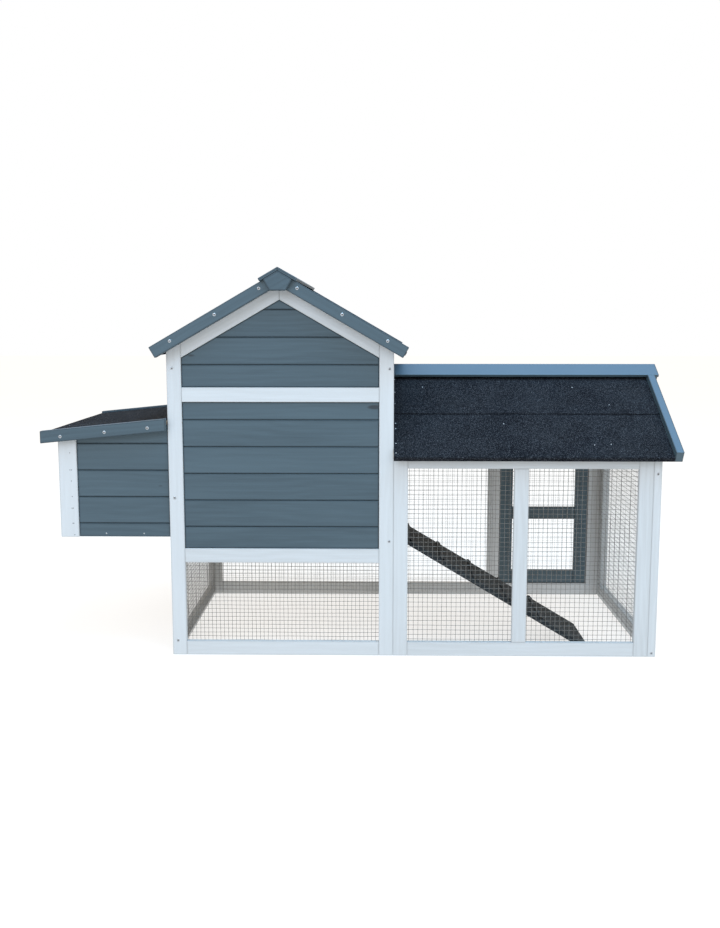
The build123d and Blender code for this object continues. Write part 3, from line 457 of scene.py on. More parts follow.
painted_sky_sheen, given, result = new_group("Painted sky sheen", {"Amount": 0.0}, ["Faded"])
skyward = span(painted_sky_sheen, facing_up(painted_sky_sheen), 0.2, 0.7)
painted_sky_sheen.links.new(maths(painted_sky_sheen, "MULTIPLY", skyward, given["Amount"]), result["Faded"])
print("groups for wear:", [g.name for g in (edge_wear, dust, painted_sky_sheen)])

# %% [markdown]
# ## Grit and spangle
#
# Roofing felt is dressed with crushed stone, a pale grain here and there among dark ones, and
# now and then a larger chip. Zinc cools into flat crystals that each shine a little
# differently. Both are patchworks of small cells with a random value each, which is what a
# Voronoi texture gives.

# %% Mineral grit and zinc spangle
grit, given, result = new_group(
    "Mineral grit", {"Place": None, "Size": 1.0}, ["Speck", "Patch", "Chip", "Height"]
)
from_grain, grain_colour = cells(grit, scaled(grit, given["Place"], given["Size"]), 760.0)
shade = channels(grit, grain_colour)
grit.links.new(span(grit, shade[0], 0.78, 1.0), result["Speck"])
grit.links.new(noise(grit, given["Place"], 9.0, 6.0, 0.6), result["Patch"])
from_chip, chip_colour = cells(grit, given["Place"], 11.0, voronoi_dimensions="2D")
picked = channels(grit, chip_colour)[1]
spot = maths(grit, "LESS_THAN", from_chip, 0.016)
grit.links.new(maths(grit, "MULTIPLY", spot, span(grit, picked, 0.87, 0.88)), result["Chip"])
dome = span(grit, from_grain, 0.0, 0.7, 1.0, 0.0)
grain_height = maths(grit, "MULTIPLY_ADD", shade[1], 0.6, 0.4)
grit.links.new(maths(grit, "MULTIPLY", dome, grain_height), result["Height"])

spangle, given, result = new_group("Zinc spangle", {"Place": None, "Size": 1.0}, ["Flake", "Stain"])
flake_colour = cells(spangle, scaled(spangle, given["Place"], given["Size"]), 160.0)[1]
spangle.links.new(channels(spangle, flake_colour)[0], result["Flake"])
spangle.links.new(noise(spangle, given["Place"], 22.0, 5.0), result["Stain"])
print("groups:", [g.name for g in bpy.data.node_groups])


# %% [markdown]
# ## The finishes
#
# Colour first, then roughness, then a shallow bump. Painted wood is never one colour: fibres
# take the stain differently, each board differs a little from its neighbour, and knots show
# through. The amounts are small, because at arm's length a painted coop looks almost even.

# %% Painted and bare wood
def begin(name, roughness, metallic=0.0):
    """A new material with its tree and shader."""
    material = bpy.data.materials.new(name)
    material.use_nodes = True
    shader = material.node_tree.nodes["Principled BSDF"]
    shader.inputs["Roughness"].default_value = roughness
    shader.inputs["Metallic"].default_value = metallic
    return material, material.node_tree, shader


def group_node(tree, group, **inputs):
    """Places a group in a tree; returns its outputs."""
    made = put(tree, "ShaderNodeGroup", node_tree=group)
    for label, value in inputs.items():
        if isinstance(value, bpy.types.NodeSocket):
            tree.links.new(value, made.inputs[label])
        else:
            made.inputs[label].default_value = value
    return made.outputs


JOINT_SHADE = (0.008, 0.01, 0.012)
PAINTED_SKY_REFLECTION = (0.062, 0.118, 0.17)
WOOD_DUST = (0.62, 0.62, 0.6)


def finish_wood(
    name, body, light, dark, knot_colour, wear_colour, *,
    fibre, bands, knots, pooling_and_shade, wear, dusty, bump, roughness=0.5, sky_sheen=0.0,
):
    """Wood under paint or stain.

    body, light and dark are the coat's colour and how the fibres shift it. fibre to bump are
    shares, 0 to 1. Pooling darkens the arrises: partly the thicker coat of stain that gathers
    there, partly painted shade along the lines where parts meet. The sky sheen share paints a
    reflection of the sky: what faces up turns paler and bluer.
    """
    material, tree, shader = begin(name, roughness)
    grain = stored(tree, "grain", "Vector")
    tone = stored(tree, "tone")
    edge = stored(tree, "edge")
    figure = group_node(tree, wood_figure, Grain=grain, Knots=1.0)
    colour = blend(tree, maths(tree, "MULTIPLY", span(tree, figure["Fibre"], 0.3, 0.75), fibre), body, dark)
    colour = blend(tree, maths(tree, "MULTIPLY", figure["Bands"], bands), colour, dark)
    broad = noise(tree, stretched(tree, grain, (1.6, 9.0, 9.0)), 1.0, 3.0)
    colour = blend(tree, span(tree, broad, 0.4, 0.75, 0.0, 0.5), colour, light)
    colour = blend(tree, maths(tree, "MULTIPLY", tone, 0.45), colour, light)
    colour = blend(tree, maths(tree, "MULTIPLY", figure["Knot"], knots), colour, knot_colour)
    # painted shade at the bottom of each board joint, where the edge value is below zero
    colour = blend(tree, span(tree, edge, -0.1, -0.6, 0.0, 0.85), colour, JOINT_SHADE)
    # painted reflection of the sky: what faces up turns paler and bluer
    colour = blend(tree, group_node(tree, painted_sky_sheen, Amount=sky_sheen)["Faded"], colour, PAINTED_SKY_REFLECTION)
    # darker arrises: partly the stain's thicker coat, partly painted shade where parts meet
    colour = blend(tree, maths(tree, "MULTIPLY", span(tree, edge, 0.3, 1.0), pooling_and_shade), colour, dark)
    worn = group_node(tree, edge_wear, Place=grain, Edge=edge, Amount=wear)["Worn"]
    colour = blend(tree, maths(tree, "MULTIPLY", worn, 0.7), colour, wear_colour)
    dusted = group_node(tree, dust, Place=grain, Amount=dusty)["Dusty"]
    colour = blend(tree, dusted, colour, WOOD_DUST)
    tree.links.new(colour, shader.inputs["Base Color"])
    rough = span(tree, figure["Fibre"], 0.2, 0.8, roughness - 0.07, roughness + 0.1)
    tree.links.new(rough, shader.inputs["Roughness"])
    relief = put(tree, "ShaderNodeBump", {"Height": figure["Height"], "Strength": bump, "Distance": 0.4 * MM})
    tree.links.new(relief.outputs[0], shader.inputs["Normal"])
    return material


SLATE = dict(
    body=(0.052, 0.088, 0.11), light=(0.064, 0.104, 0.128), dark=(0.022, 0.041, 0.054),
    knot_colour=(0.012, 0.018, 0.024), wear_colour=(0.2, 0.19, 0.16),
)
slate_stain = finish_wood(
    "slate_stain", **SLATE,
    fibre=0.8, bands=0.3, knots=0.85, pooling_and_shade=0.9, wear=0.12, dusty=0.015, bump=0.4,
)
white_paint = finish_wood(
    "white_paint", body=(0.53, 0.555, 0.57), light=(0.56, 0.585, 0.6), dark=(0.4, 0.41, 0.41),
    knot_colour=(0.22, 0.19, 0.15), wear_colour=(0.42, 0.37, 0.28),
    fibre=0.75, bands=0.25, knots=0.75, pooling_and_shade=0.5, wear=0.2, dusty=0.0, bump=0.35,
)
bare_ply = finish_wood(
    "bare_ply", body=(0.5, 0.36, 0.22), light=(0.58, 0.44, 0.28), dark=(0.36, 0.24, 0.13),
    knot_colour=(0.22, 0.12, 0.06), wear_colour=(0.56, 0.44, 0.3),
    fibre=0.6, bands=0.35, knots=0.7, pooling_and_shade=0.2, wear=0.1, dusty=0.05, bump=0.35, roughness=0.62,
)
# The caps and barge boards: slate stain with a painted reflection of the sky on what faces up.
cap_stain_sky_sheen = finish_wood(
    "cap_stain_sky_sheen", **SLATE, fibre=0.6, bands=0.3, knots=0.85, pooling_and_shade=0.9, wear=0.12, dusty=0.015,
    bump=0.4, roughness=0.45, sky_sheen=0.95,
)
# The ramp: the slate stain darkened as painted shade, since the ramp lies in shade under the roof.
ramp_stain_painted_shade = finish_wood(
    "ramp_stain_painted_shade", body=(0.014, 0.02, 0.024), light=(0.02, 0.028, 0.033), dark=(0.008, 0.012, 0.015),
    knot_colour=(0.01, 0.013, 0.016), wear_colour=(0.12, 0.11, 0.09),
    fibre=0.7, bands=0.4, knots=0.8, pooling_and_shade=0.5, wear=0.25, dusty=0.02, bump=0.6, roughness=0.8,
)
print("wood finishes:", [m.name for m in (slate_stain, white_paint, bare_ply, cap_stain_sky_sheen, ramp_stain_painted_shade)])

# %% [markdown]
# ## Felt and metal
#
# The felt is nearly black and hardly shines, so what reads is its grit: pale specks, a few
# chips and slow cloudy patches. Zinc is a metal, so its colour is what it mirrors: the crystals
# shift both the colour and the roughness. A screw's recess is darkened by its tone, which is
# painted shade.

# %% Roofing felt, wire and zinc
FELT_BLACK = (0.0045, 0.0055, 0.008)
FELT_GREY = (0.009, 0.0108, 0.0145)
PALE_GRAIN = (0.115, 0.124, 0.14)
STONE_CHIP = (0.6, 0.62, 0.65)
FELT_DUST = (0.5, 0.5, 0.5)
# painted shade in screw recesses, and the dull darkening of nail heads
RECESS_SHADE_AND_DULLING = (0.03, 0.03, 0.03)


def finish_felt():
    """Bitumen felt with a crushed mineral face: near-black, with pale grains and worn patches."""
    material, tree, shader = begin("mineral_felt", 0.85)
    shader.inputs["Specular IOR Level"].default_value = 0.04
    place = put(tree, "ShaderNodeTexCoord").outputs["Object"]
    mineral = group_node(tree, grit, Place=place, Size=1.0)
    colour = blend(tree, span(tree, mineral["Patch"], 0.35, 0.7), FELT_BLACK, FELT_GREY)
    colour = blend(tree, maths(tree, "MULTIPLY", mineral["Speck"], 0.75), colour, PALE_GRAIN)
    colour = blend(tree, mineral["Chip"], colour, STONE_CHIP)
    dusted = group_node(tree, dust, Place=place, Amount=0.012)["Dusty"]
    colour = blend(tree, dusted, colour, FELT_DUST)
    tree.links.new(colour, shader.inputs["Base Color"])
    tree.links.new(span(tree, mineral["Speck"], 0.0, 1.0, 0.9, 0.55), shader.inputs["Roughness"])
    relief = put(tree, "ShaderNodeBump", {"Height": mineral["Height"], "Strength": 0.6, "Distance": 0.6 * MM})
    tree.links.new(relief.outputs[0], shader.inputs["Normal"])
    return material


def finish_zinc(name, bright, dull, size, roughness):
    """Zinc over steel: crystal flakes that differ in brightness, and dull stains."""
    material, tree, shader = begin(name, roughness, 1.0)
    place = put(tree, "ShaderNodeTexCoord").outputs["Object"]
    crystal = group_node(tree, spangle, Place=place, Size=size)
    colour = blend(tree, crystal["Flake"], bright, dull)
    colour = blend(tree, span(tree, crystal["Stain"], 0.5, 0.8, 0.0, 0.6), colour, dull)
    # darkens each screw's recess as painted shade, and a dull nail's whole head
    colour = blend(tree, maths(tree, "MULTIPLY", stored(tree, "tone"), 0.85), colour, RECESS_SHADE_AND_DULLING)
    tree.links.new(colour, shader.inputs["Base Color"])
    rough = span(tree, crystal["Flake"], 0.0, 1.0, roughness - 0.08, roughness + 0.12)
    tree.links.new(rough, shader.inputs["Roughness"])
    relief = put(tree, "ShaderNodeBump", {"Height": crystal["Flake"], "Strength": 0.15, "Distance": 0.1 * MM})
    tree.links.new(relief.outputs[0], shader.inputs["Normal"])
    return material


mineral_felt = finish_felt()
wire_zinc = finish_zinc("galvanised_wire", (0.27, 0.27, 0.26), (0.17, 0.165, 0.155), 3.0, 0.5)
screw_zinc = finish_zinc("bright_zinc", (0.55, 0.56, 0.57), (0.4, 0.41, 0.42), 4.0, 0.35)
sheet_zinc = finish_zinc("galvanised_sheet", (0.62, 0.64, 0.66), (0.48, 0.5, 0.52), 0.6, 0.4)
print("mineral and metal finishes ready")

# %% [markdown]
# ## Frame, roof boards and floors
#
# Posts, rails, rafters, barge boards and caps are plain planed sticks, so one loop rebuilds
# them all. The finish follows the part's material slot, except for the ramp, whose darker stain
# is painted shade, and for the caps and barge boards, whose tops carry a painted reflection of
# the sky.

# %% Plane every plain stick
ARRIS = 1.4 * MM
PLATE_ARRIS = 3 * MM  # the ridge end plates are eased more
CAPS = ["ridge_caps", "run_barge_boards", "house_barge_boards", "nest_lid_fascias"]
WOOD = {"white_wood": white_paint, "slate_wood": slate_stain, "plywood": bare_ply}
SPECIAL = {name: ramp_stain_painted_shade for name in nodes if name.startswith("ramp")}
SPECIAL.update({name: cap_stain_sky_sheen for name in CAPS})
SIDING = {
    "house_front_boards": -1, "house_back_boards": 1, "house_left_boards": -1, "house_right_boards": 1,
    "nest_front_boards": -1, "nest_back_boards": 1, "nest_end_boards": -1, "house_door_boards": 1,
}
planed = 0
for name in sorted(nodes):
    if slot_of[name] in WOOD and name not in SIDING:
        rng = seeded(name)
        arris = PLATE_ARRIS if name == "ridge_end_plates" else ARRIS
        sticks = [stick(solid, rng, arris) for solid in solids_of(name)]
        finish = SPECIAL.get(name, WOOD[slot_of[name]])
        stand_for(make_object(name + "_planed", sticks, finish), name)
        planed += len(sticks)
print("planed", planed, "sticks")


# %% [markdown]
# ## Tongue-and-groove boards
#
# Each wall is a panel of narrow boards. Their front edges are chamfered, so two neighbours
# meet in a V, and a thin gap runs on to the tongue that closes the joint from behind. That
# dark line, deepened by painted shade in the gap, is what makes the wall read as boards. The
# same ring stack draws it: full size at the back, slightly smaller for the gap, smaller again
# at the face.

# %% Lay the boards
CHAMFER = 2.4 * MM
JOINT_GAP = 0.9 * MM
TONGUE = 5.0 * MM
BACK_RING = 6 * MM


def board_rings(low, high, facing):
    """Rings of a board whose face looks along facing (+1 or -1): chamfer, gap, then tongue.

    The gap's rings store a negative edge value, which the finish paints as shade at the
    bottom of the joint.
    """
    face = [(0, CHAMFER + FACE_RING, 0), (0, CHAMFER, 1), (CHAMFER - JOINT_GAP, JOINT_GAP, -0.4)]
    face += [(TONGUE, JOINT_GAP, -1), (TONGUE, 0, -1), (high - low, 0, 0), (high - low, BACK_RING, 0)]
    if facing < 0:
        return [(low + level, into, edge) for level, into, edge in face]
    return [(high - level, into, edge) for level, into, edge in reversed(face)]


def siding(name, facing):
    """Every board of one wall."""
    rng = seeded(name)
    boards = []
    for solid in solids_of(name):
        axis, low, high, outline = prism_of(solid)
        places, faces, edge = ring_stack(outline, axis, board_rings(low, high, facing), 0.3 * MM)
        tone = np.full(len(places), rng.uniform(0, 1))
        grain = grain_of(places, axis, outline, rng)
        boards.append(dict(places=places, faces=faces, edge=edge, tone=tone, grain=grain))
    stand_for(make_object(name + "_laid", boards, slate_stain), name)
    return len(boards)


print("laid", sum(siding(name, facing) for name, facing in SIDING.items()), "boards")

# %% [markdown]
# ## Welded wire mesh
#
# The frame holds each mesh as a thin closed sheet. The real thing is a grid of wires welded
# at each crossing, never perfectly straight. Each wire is a small tube swept along a line
# that wavers by a fraction of a millimetre, and all wires of a sheet are computed at once.

# %% Wires across a sheet
NEAR_WIRE = 0.65 * MM  # radius
FAR_WIRE = 0.35 * MM  # thinner at the back, where a second grid would shimmer behind the first
WAVER = 0.5 * MM
SHEET_EDGE = 2 * MM  # how far the wires stop short of the sheet's edge
HOUSE_PITCH = 12.7 * MM
RUN_PITCH = 15 * MM


def chords(outline, levels, across):
    """Where lines at the given levels of coordinate across cut the outline: starts and ends."""
    a, b = outline, np.roll(outline, -1, 0)
    along = 1 - across
    rise = (b[:, across] - a[:, across])[None]
    rise = np.where(np.abs(rise) < 1e-9, 1e-9, rise)
    t = (levels[:, None] - a[:, across][None]) / rise
    cut = a[:, along][None] + t * (b[:, along] - a[:, along])[None]
    hit = (t >= 0) & (t <= 1)
    return np.where(hit, cut, np.inf).min(1), np.where(hit, cut, -np.inf).max(1)


def wires(outline, axis, level, pitch, across, radius, rng, samples=16, sides=5):
    """Tubes at every pitch of coordinate across, swept along the other one.

    A wire's centre is its straight line plus a slow sine waver, sideways in the sheet and
    0.4 of that out of it; its surface is the centre plus the wire's radius times the cosine
    and sine of the tube angle. The two ways of wires lie on either side of the sheet's middle.
    """
    low, high = outline[:, across].min(), outline[:, across].max()
    levels = np.arange(low + pitch / 2, high, pitch)
    start, end = chords(outline, levels, across)
    keep = end - start > pitch
    levels, start, end = levels[keep], start[keep], end[keep]
    t = np.linspace(0, 1, samples)[None]
    phase = rng.uniform(0, 2 * pi, (len(levels), 1))
    waver = WAVER * np.sin(2 * pi * t * rng.uniform(1, 2.5, (len(levels), 1)) + phase)
    angle = np.arange(sides) * 2 * pi / sides
    places = np.zeros((len(levels), samples, sides, 3))
    plane = [(axis + 1) % 3, (axis + 2) % 3]
    run = start[:, None] + t * (end - start)[:, None]
    places[..., plane[1 - across]] = run[..., None]
    places[..., plane[across]] = (levels[:, None] + waver)[..., None] + radius * np.cos(angle)
    lift = radius * (1 - 2 * across) * 0.8
    places[..., axis] = (level + lift + 0.4 * waver)[..., None] + radius * np.sin(angle)
    index = np.arange(places[..., 0].size).reshape(len(levels), samples, sides)
    after = np.roll(index, -1, 2)
    quads = np.stack([index[:, :-1], after[:, :-1], after[:, 1:], index[:, 1:]], -1).reshape(-1, 4)
    faces = quads.tolist() + index[:, 0, ::-1].tolist() + index[:, -1].tolist()
    if across == 0:
        faces = [face[::-1] for face in faces]
    return dict(places=places.reshape(-1, 3), faces=faces)


def mesh_panel(name, pitch):
    """Both ways of wires for each sheet of a mesh part."""
    rng = seeded(name)
    shapes = []
    for solid in solids_of(name):
        axis, low, high, outline = prism_of(solid)
        middle = (low + high) / 2
        outline = inset(outline, SHEET_EDGE)
        radius = FAR_WIRE if axis == 1 and middle > 0 else NEAR_WIRE
        shapes.append(wires(outline, axis, middle, pitch, 0, radius, rng))
        shapes.append(wires(outline, axis, middle, pitch, 1, radius, rng))
    made = make_object(name + "_wires", shapes, wire_zinc, smooth=True)
    stand_for(made, name)
    return len(made.data.polygons)


for name, pitch in (("house_mesh", HOUSE_PITCH), ("run_mesh", RUN_PITCH), ("run_door_mesh", RUN_PITCH)):
    print(name, "wires:", mesh_panel(name, pitch), "faces")

# %% [markdown]
# ## Screws
#
# The heads are shallow domes with a cross-shaped recess. A dome with a cross is a height
# over a disc, so it is one grid of radius and angle.

# %% Turn the screw heads
HEAD_RADIUS = 5 * MM
HEAD_RISE = 1.2 * MM


def screw_head(centre, radius, rise, facing, turn):
    """A domed head with a cross recess, on the XZ plane and facing along Y.

    Height over the disc is rise (1 - (r/R)^4), less a recess of 0.9 rise. The recess is full
    within 0.12 R of an arm of the cross and 0.5 R of the middle, and fades out by 0.22 R and
    0.62 R.
    """
    r = np.concatenate([np.linspace(0.04, 0.7, 10), np.linspace(0.78, 1.0, 5)])[:, None] * radius
    angle = np.linspace(0, 2 * pi, 40, endpoint=False)[None]
    x, z = r * np.cos(angle), r * np.sin(angle)
    arm = np.minimum(np.abs(x), np.abs(z))
    recess = (1 - np.clip((arm / radius - 0.12) / 0.1, 0, 1)) * (1 - np.clip((r / radius - 0.5) / 0.12, 0, 1))
    height = rise * (1 - (r / radius) ** 4) - 0.9 * rise * recess
    u = x * cos(turn) - z * sin(turn)
    v = x * sin(turn) + z * cos(turn)
    places = np.stack([centre[0] + u, centre[1] + facing * height, centre[2] + v], -1)
    skirt = places[-1:].copy()
    skirt[..., 1] = centre[1] - facing * 0.3 * MM
    places = np.concatenate([places, skirt])
    rows, columns = places.shape[:2]
    index = np.arange(rows * columns).reshape(rows, columns)
    after = np.roll(index, -1, 1)
    quads = np.stack([index[:-1], index[1:], after[1:], after[:-1]], -1).reshape(-1, 4)
    faces = quads.tolist() + [index[0].tolist(), index[-1, ::-1].tolist()]
    if facing < 0:
        faces = [face[::-1] for face in faces]
    # the recess is stored as tone, which the zinc finish paints as shade
    shade = np.concatenate([recess, 0 * recess[-1:]]).reshape(-1)
    return dict(places=places.reshape(-1, 3), faces=faces, tone=shade)


def screws(name):
    """A head at the outer end of each modelled screw."""
    rng = seeded(name)
    heads = []
    for solid in solids_of(name):
        points = solid.reshape(-1, 3)
        facing = -1 if points[:, 1].mean() < 0 else 1
        outer = points[:, 1].min() if facing < 0 else points[:, 1].max()
        centre = (points.min(0) + points.max(0)) / 2
        centre[1] = outer - facing * HEAD_RISE
        heads.append(screw_head(centre, HEAD_RADIUS, HEAD_RISE, facing, rng.uniform(0, pi / 2)))
    stand_for(make_object(name + "_heads", heads, screw_zinc, smooth=True), name)
    return len(heads)


print("screws:", [screws(name) for name in ("frame_screws", "nest_lid_screws", "button_screws")])

# %% [markdown]
# ## Felt folded over the eaves
#
# Roofing felt is laid in courses and folded down over the panel's lower edge, where it is
# tacked. The frame has it as a flat layer. Here its section is drawn as a line that goes up
# under the eave, round the panel's edge and up the slope, and that section is carried along
# the roof with a slight ripple.

# %% Carry a folded section along the roof
FELT = 2.6 * MM
FIRST_COURSE = 227 * MM
CLEAR = 0.05 * MM  # between the felt and the panel under it
RIPPLE = 0.25 * MM
STILL = 60 * MM  # length from the fold over which the ripple grows


def soft_path(corners, radius, spacing=12 * MM):
    """An open line through the corners: straight runs in even steps, and at each inner
    corner a parabola that starts and ends at radius from it."""
    corners = np.asarray(corners, float)
    rounds = rounded(np.concatenate([corners, corners[:1]]), radius, 5).reshape(-1, 5, 2)[1:-2]
    stops = np.concatenate([corners[:1], rounds.reshape(-1, 2), corners[-1:]])
    pieces = [
        np.linspace(a, b, max(2, int(np.linalg.norm(b - a) / spacing) + 1))[:-1]
        for a, b in zip(stops[:-1], stops[1:])
    ]
    return np.concatenate(pieces + [stops[-1:]])


def felt_sheet(path, up, axis, low, high, rng, steps=70):
    """A sheet of felt: the path (point, 2) carried from low to high along an axis.

    The outer side is the path moved along its normal, on the side of up, by the felt's
    thickness and a ripple of sin(9t + 17s) + 0.6 sin(31t - 23s), at t along the roof and s
    along the path, which fades out towards the fold.
    """
    ahead = np.gradient(path, axis=0)
    normal = np.stack([-ahead[:, 1], ahead[:, 0]], 1) / np.linalg.norm(ahead, axis=1, keepdims=True)
    normal = normal * np.sign(normal[-1] @ up)
    length = np.concatenate([[0], np.cumsum(np.linalg.norm(np.diff(path, axis=0), axis=1))])[None]
    t = np.linspace(low, high, steps)[:, None]
    phase = rng.uniform(0, 2 * pi, 2)
    waves = np.sin(9 * t + 17 * length + phase[0]) + 0.6 * np.sin(31 * t - 23 * length + phase[1])
    ripple = RIPPLE * (waves + 1.6) * np.clip(length / STILL, 0, 1)
    plane = [(axis + 1) % 3, (axis + 2) % 3]
    places = np.zeros((steps, 2 * len(path), 3))
    places[..., axis] = t
    inner = path[None] + normal[None] * CLEAR * np.ones((steps, 1, 1))
    outer = path[None] + normal[None] * (FELT + ripple)[..., None]
    places[..., plane] = np.concatenate([inner, outer[:, ::-1]], axis=1)
    index = np.arange(places[..., 0].size).reshape(steps, -1)
    after = np.roll(index, -1, 1)
    quads = np.stack([index[:-1], after[:-1], after[1:], index[1:]], -1).reshape(-1, 4)
    faces = quads.tolist() + [index[0, ::-1].tolist(), index[-1].tolist()]
    return dict(places=places.reshape(-1, 3), faces=faces)


# %% Lay the felt
TUCK = 14 * MM  # how far the felt is folded in under the eave
FOLD = 3 * MM  # radius of the fold round the panel's edge
RIDGE_GAP = 4 * MM  # the felt stops this far short of the ridge
LAP = 40 * MM  # how far the first course runs on under the second
OVER = 1.0 * MM  # how far the second course rides above the first
RIDES_TO = 45 * MM
LANDS_AT = 70 * MM
LANDING = 8 * MM  # radius of the two slight bends where it comes down


def slope_of(panel):
    """(axis, low, high, under, top, ridge, along, up) of a roof panel.

    under and top are the eave's two corners, the lowest of its outline, and ridge is the
    highest. along points up the slope, and up is the unit normal of the top side.
    """
    axis, low, high, outline = prism_of(panel)
    height = 0 if (axis + 1) % 3 == 2 else 1
    order = np.argsort(outline[:, height])
    under, top = outline[order[0]], outline[order[1]]
    ridge = outline[order[-1]]
    along = (ridge - top) / np.linalg.norm(ridge - top)
    up = np.array([-along[1], along[0]])
    return axis, low, high, under, top, ridge, along, up * np.sign(up[height])


def lay_felt(felt, panels, laps):
    """Folds felt over the eave of every panel; with laps, a second course starts above it."""
    rng = seeded(felt)
    sheets = []
    for panel in solids_of(panels):
        axis, low, high, under, top, ridge, along, up = slope_of(panel)
        end = ridge - along * RIDGE_GAP
        first_end = top + along * (FIRST_COURSE + LAP) if laps else end
        path = soft_path([under + along * TUCK, under, top, first_end], FOLD)
        sheets.append(felt_sheet(path, up, axis, low, high, rng))
        if laps:
            start = top + along * FIRST_COURSE
            rise = up * (FELT + OVER)
            corners = [start + rise, start + rise + along * RIDES_TO, start + along * LANDS_AT, end]
            sheets.append(felt_sheet(soft_path(corners, LANDING), up, axis, low, high, rng))
    made = make_object(felt + "_folded", sheets, mineral_felt, smooth=False)
    shell = bmesh.new()
    shell.from_mesh(made.data)
    bmesh.ops.recalc_face_normals(shell, faces=shell.faces)
    shell.to_mesh(made.data)
    shell.free()
    stand_for(made, felt)
    return len(sheets)


for felt, panels, laps in (
    ("house_roof_felt", "house_roof_panels", False),
    ("run_roof_felt", "run_roof_panels", True),
    ("nest_lid_felt", "nest_lid_panel", False),
):
    print(felt, lay_felt(felt, panels, laps), "sheets")

# %% [markdown]
# ## Nails and tacks
#
# The nest box's boards are nailed through its corner posts, and the run's felt is tacked down
# beside the house. Each head is a shallow dome that stands under a millimetre proud. A sphere
# would do, but most of it would be hidden in the wood, so only the cap is made, with few
# enough faces to repeat it freely.

# %% A small domed head
def dome_head(centre, normal, radius, rise, dull=0.0):
    """A shallow dome on a point: rise times 1 - (r/R)^2 along the normal, over six rings of
    ten points, closed underneath. dull darkens its zinc."""
    normal = np.asarray(normal, float) / np.linalg.norm(normal)
    first = np.cross(normal, [1.0, 0.0, 0.0] if abs(normal[0]) < 0.9 else [0.0, 1.0, 0.0])
    first = first / np.linalg.norm(first)
    second = np.cross(normal, first)
    r = np.linspace(0.1, 1.0, 6)[:, None, None]
    angle = np.linspace(0, 2 * pi, 10, endpoint=False)[None, :, None]
    disc = radius * r * (np.cos(angle) * first + np.sin(angle) * second)
    places = np.asarray(centre) + disc + rise * (1 - r**2) * normal
    places = np.concatenate([places, places[-1:] - 0.8 * MM * normal])
    index = np.arange(70).reshape(7, 10)
    after = np.roll(index, -1, 1)
    quads = np.stack([index[:-1], index[1:], after[1:], after[:-1]], -1).reshape(-1, 4)
    faces = quads.tolist() + [index[0].tolist(), index[-1, ::-1].tolist()]
    return dict(places=places.reshape(-1, 3), faces=faces, tone=np.full(70, dull))


def fix_heads(name, heads, body):
    """One object of many heads, riding on a body."""
    made = make_object(name, heads, screw_zinc, smooth=True)
    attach(made, body)
    print(name, len(heads), "heads on", body)


# %% Drive the nails
NAIL = dict(radius=1.6 * MM, rise=0.4 * MM, dull=0.8)
BOARD_NAIL = dict(radius=2.2 * MM, rise=0.5 * MM)
POST_NAILS = (  # mm from the post's left edge and from its foot
    (36, 267), (35, 213), (40, 213), (38, 178), (39, 129),
    (37, 92), (41, 92), (38, 44), (41, 44), (43, 7),
)
BOARD_NAILS = ((142, 11), (261, 11))
post_low, post_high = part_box("nest_posts")
board_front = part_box("nest_front_boards")[0][1]
board_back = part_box("nest_back_boards")[1][1]


def nail_row(places, facing, face, shape):
    """A head at each place, in mm from the post's foot, on a face across Y."""
    heads = []
    for x, z in places:
        place = (post_low[0] + x * MM, face, post_low[2] + z * MM)
        heads.append(dome_head(place, (0, facing, 0), **shape))
    return heads


nails = nail_row(POST_NAILS, -1, post_low[1], NAIL) + nail_row(POST_NAILS, 1, post_high[1], NAIL)
nails += nail_row(BOARD_NAILS, -1, board_front, BOARD_NAIL)
nails += nail_row(BOARD_NAILS, 1, board_back, BOARD_NAIL)
fix_heads("nest_nails", nails, body_of["nest_posts"])

# %% Tack the felt along the house wall
TACK_SHARES = (0.04, 0.14, 0.3, 0.36, 0.47, 0.58, 0.72, 0.88)  # of the slope, uneven as by hand
SECOND_COURSE = 0.47  # tacks above this share go through the upper course
STEP_UP = 1.5 * MM
FROM_WALL = 7 * MM
roof_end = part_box("run_roof_panels")[0][0]
tacks = []
for panel in solids_of("run_roof_panels"):
    _, _, _, _, top, ridge, _, up = slope_of(panel)
    for share in TACK_SHARES:
        lift = FELT + 0.6 * MM + (STEP_UP if share > SECOND_COURSE else 0)
        y, z = top + share * (ridge - top) + up * lift
        tacks.append(dome_head((roof_end + FROM_WALL, y, z), (0, up[0], up[1]), 2.2 * MM, 0.8 * MM))
fix_heads("felt_tacks", tacks, body_of["run_roof_panels"])

# %% [markdown]
# ## Hinge screws
#
# A butt hinge is held by three screws in each leaf. The leaves of the two doors lie in plain
# view on the back face, so those get heads. They ride on the same body as their leaf, so that
# a door takes its own screws with it when it opens.

# %% Screw the hinges on
LEAF_MIDDLE = 12 * MM  # from the pin to the middle of a leaf's plate
LEAF_THICK = 1.5 * MM
LEAF_SHARES = (0.14, 0.5, 0.86)
LEAF_HEAD = 3.2 * MM
LEAF_RISE = 0.8 * MM
door_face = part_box("house_door_frame")[1][1]
DOOR_PINS = ("run_door_hinge", "house_door_hinge")
pins = [joint["pos_m"][0] for joint in frame["joints"] if joint["name"] in DOOR_PINS]


def leaf_heads(name, body):
    """Three low heads down the plate of each leaf that lies on the back face.

    The plate is the part of the leaf beyond the pin, on the side of the leaf's farther end.
    """
    heads = []
    for solid in solids_of(name):
        points = solid.reshape(-1, 3)
        low, high = points.min(0), points.max(0)
        if high[1] < door_face:
            continue
        pin = min(pins, key=lambda x: abs(x - (low[0] + high[0]) / 2))
        side = 1 if high[0] - pin > pin - low[0] else -1
        for share in LEAF_SHARES:
            z = low[2] + share * (high[2] - low[2])
            place = np.array((pin + side * LEAF_MIDDLE, door_face + LEAF_THICK, z))
            heads.append(screw_head(place, LEAF_HEAD, LEAF_RISE, 1, share * 3))
    fix_heads(name + "_screws", heads, body)


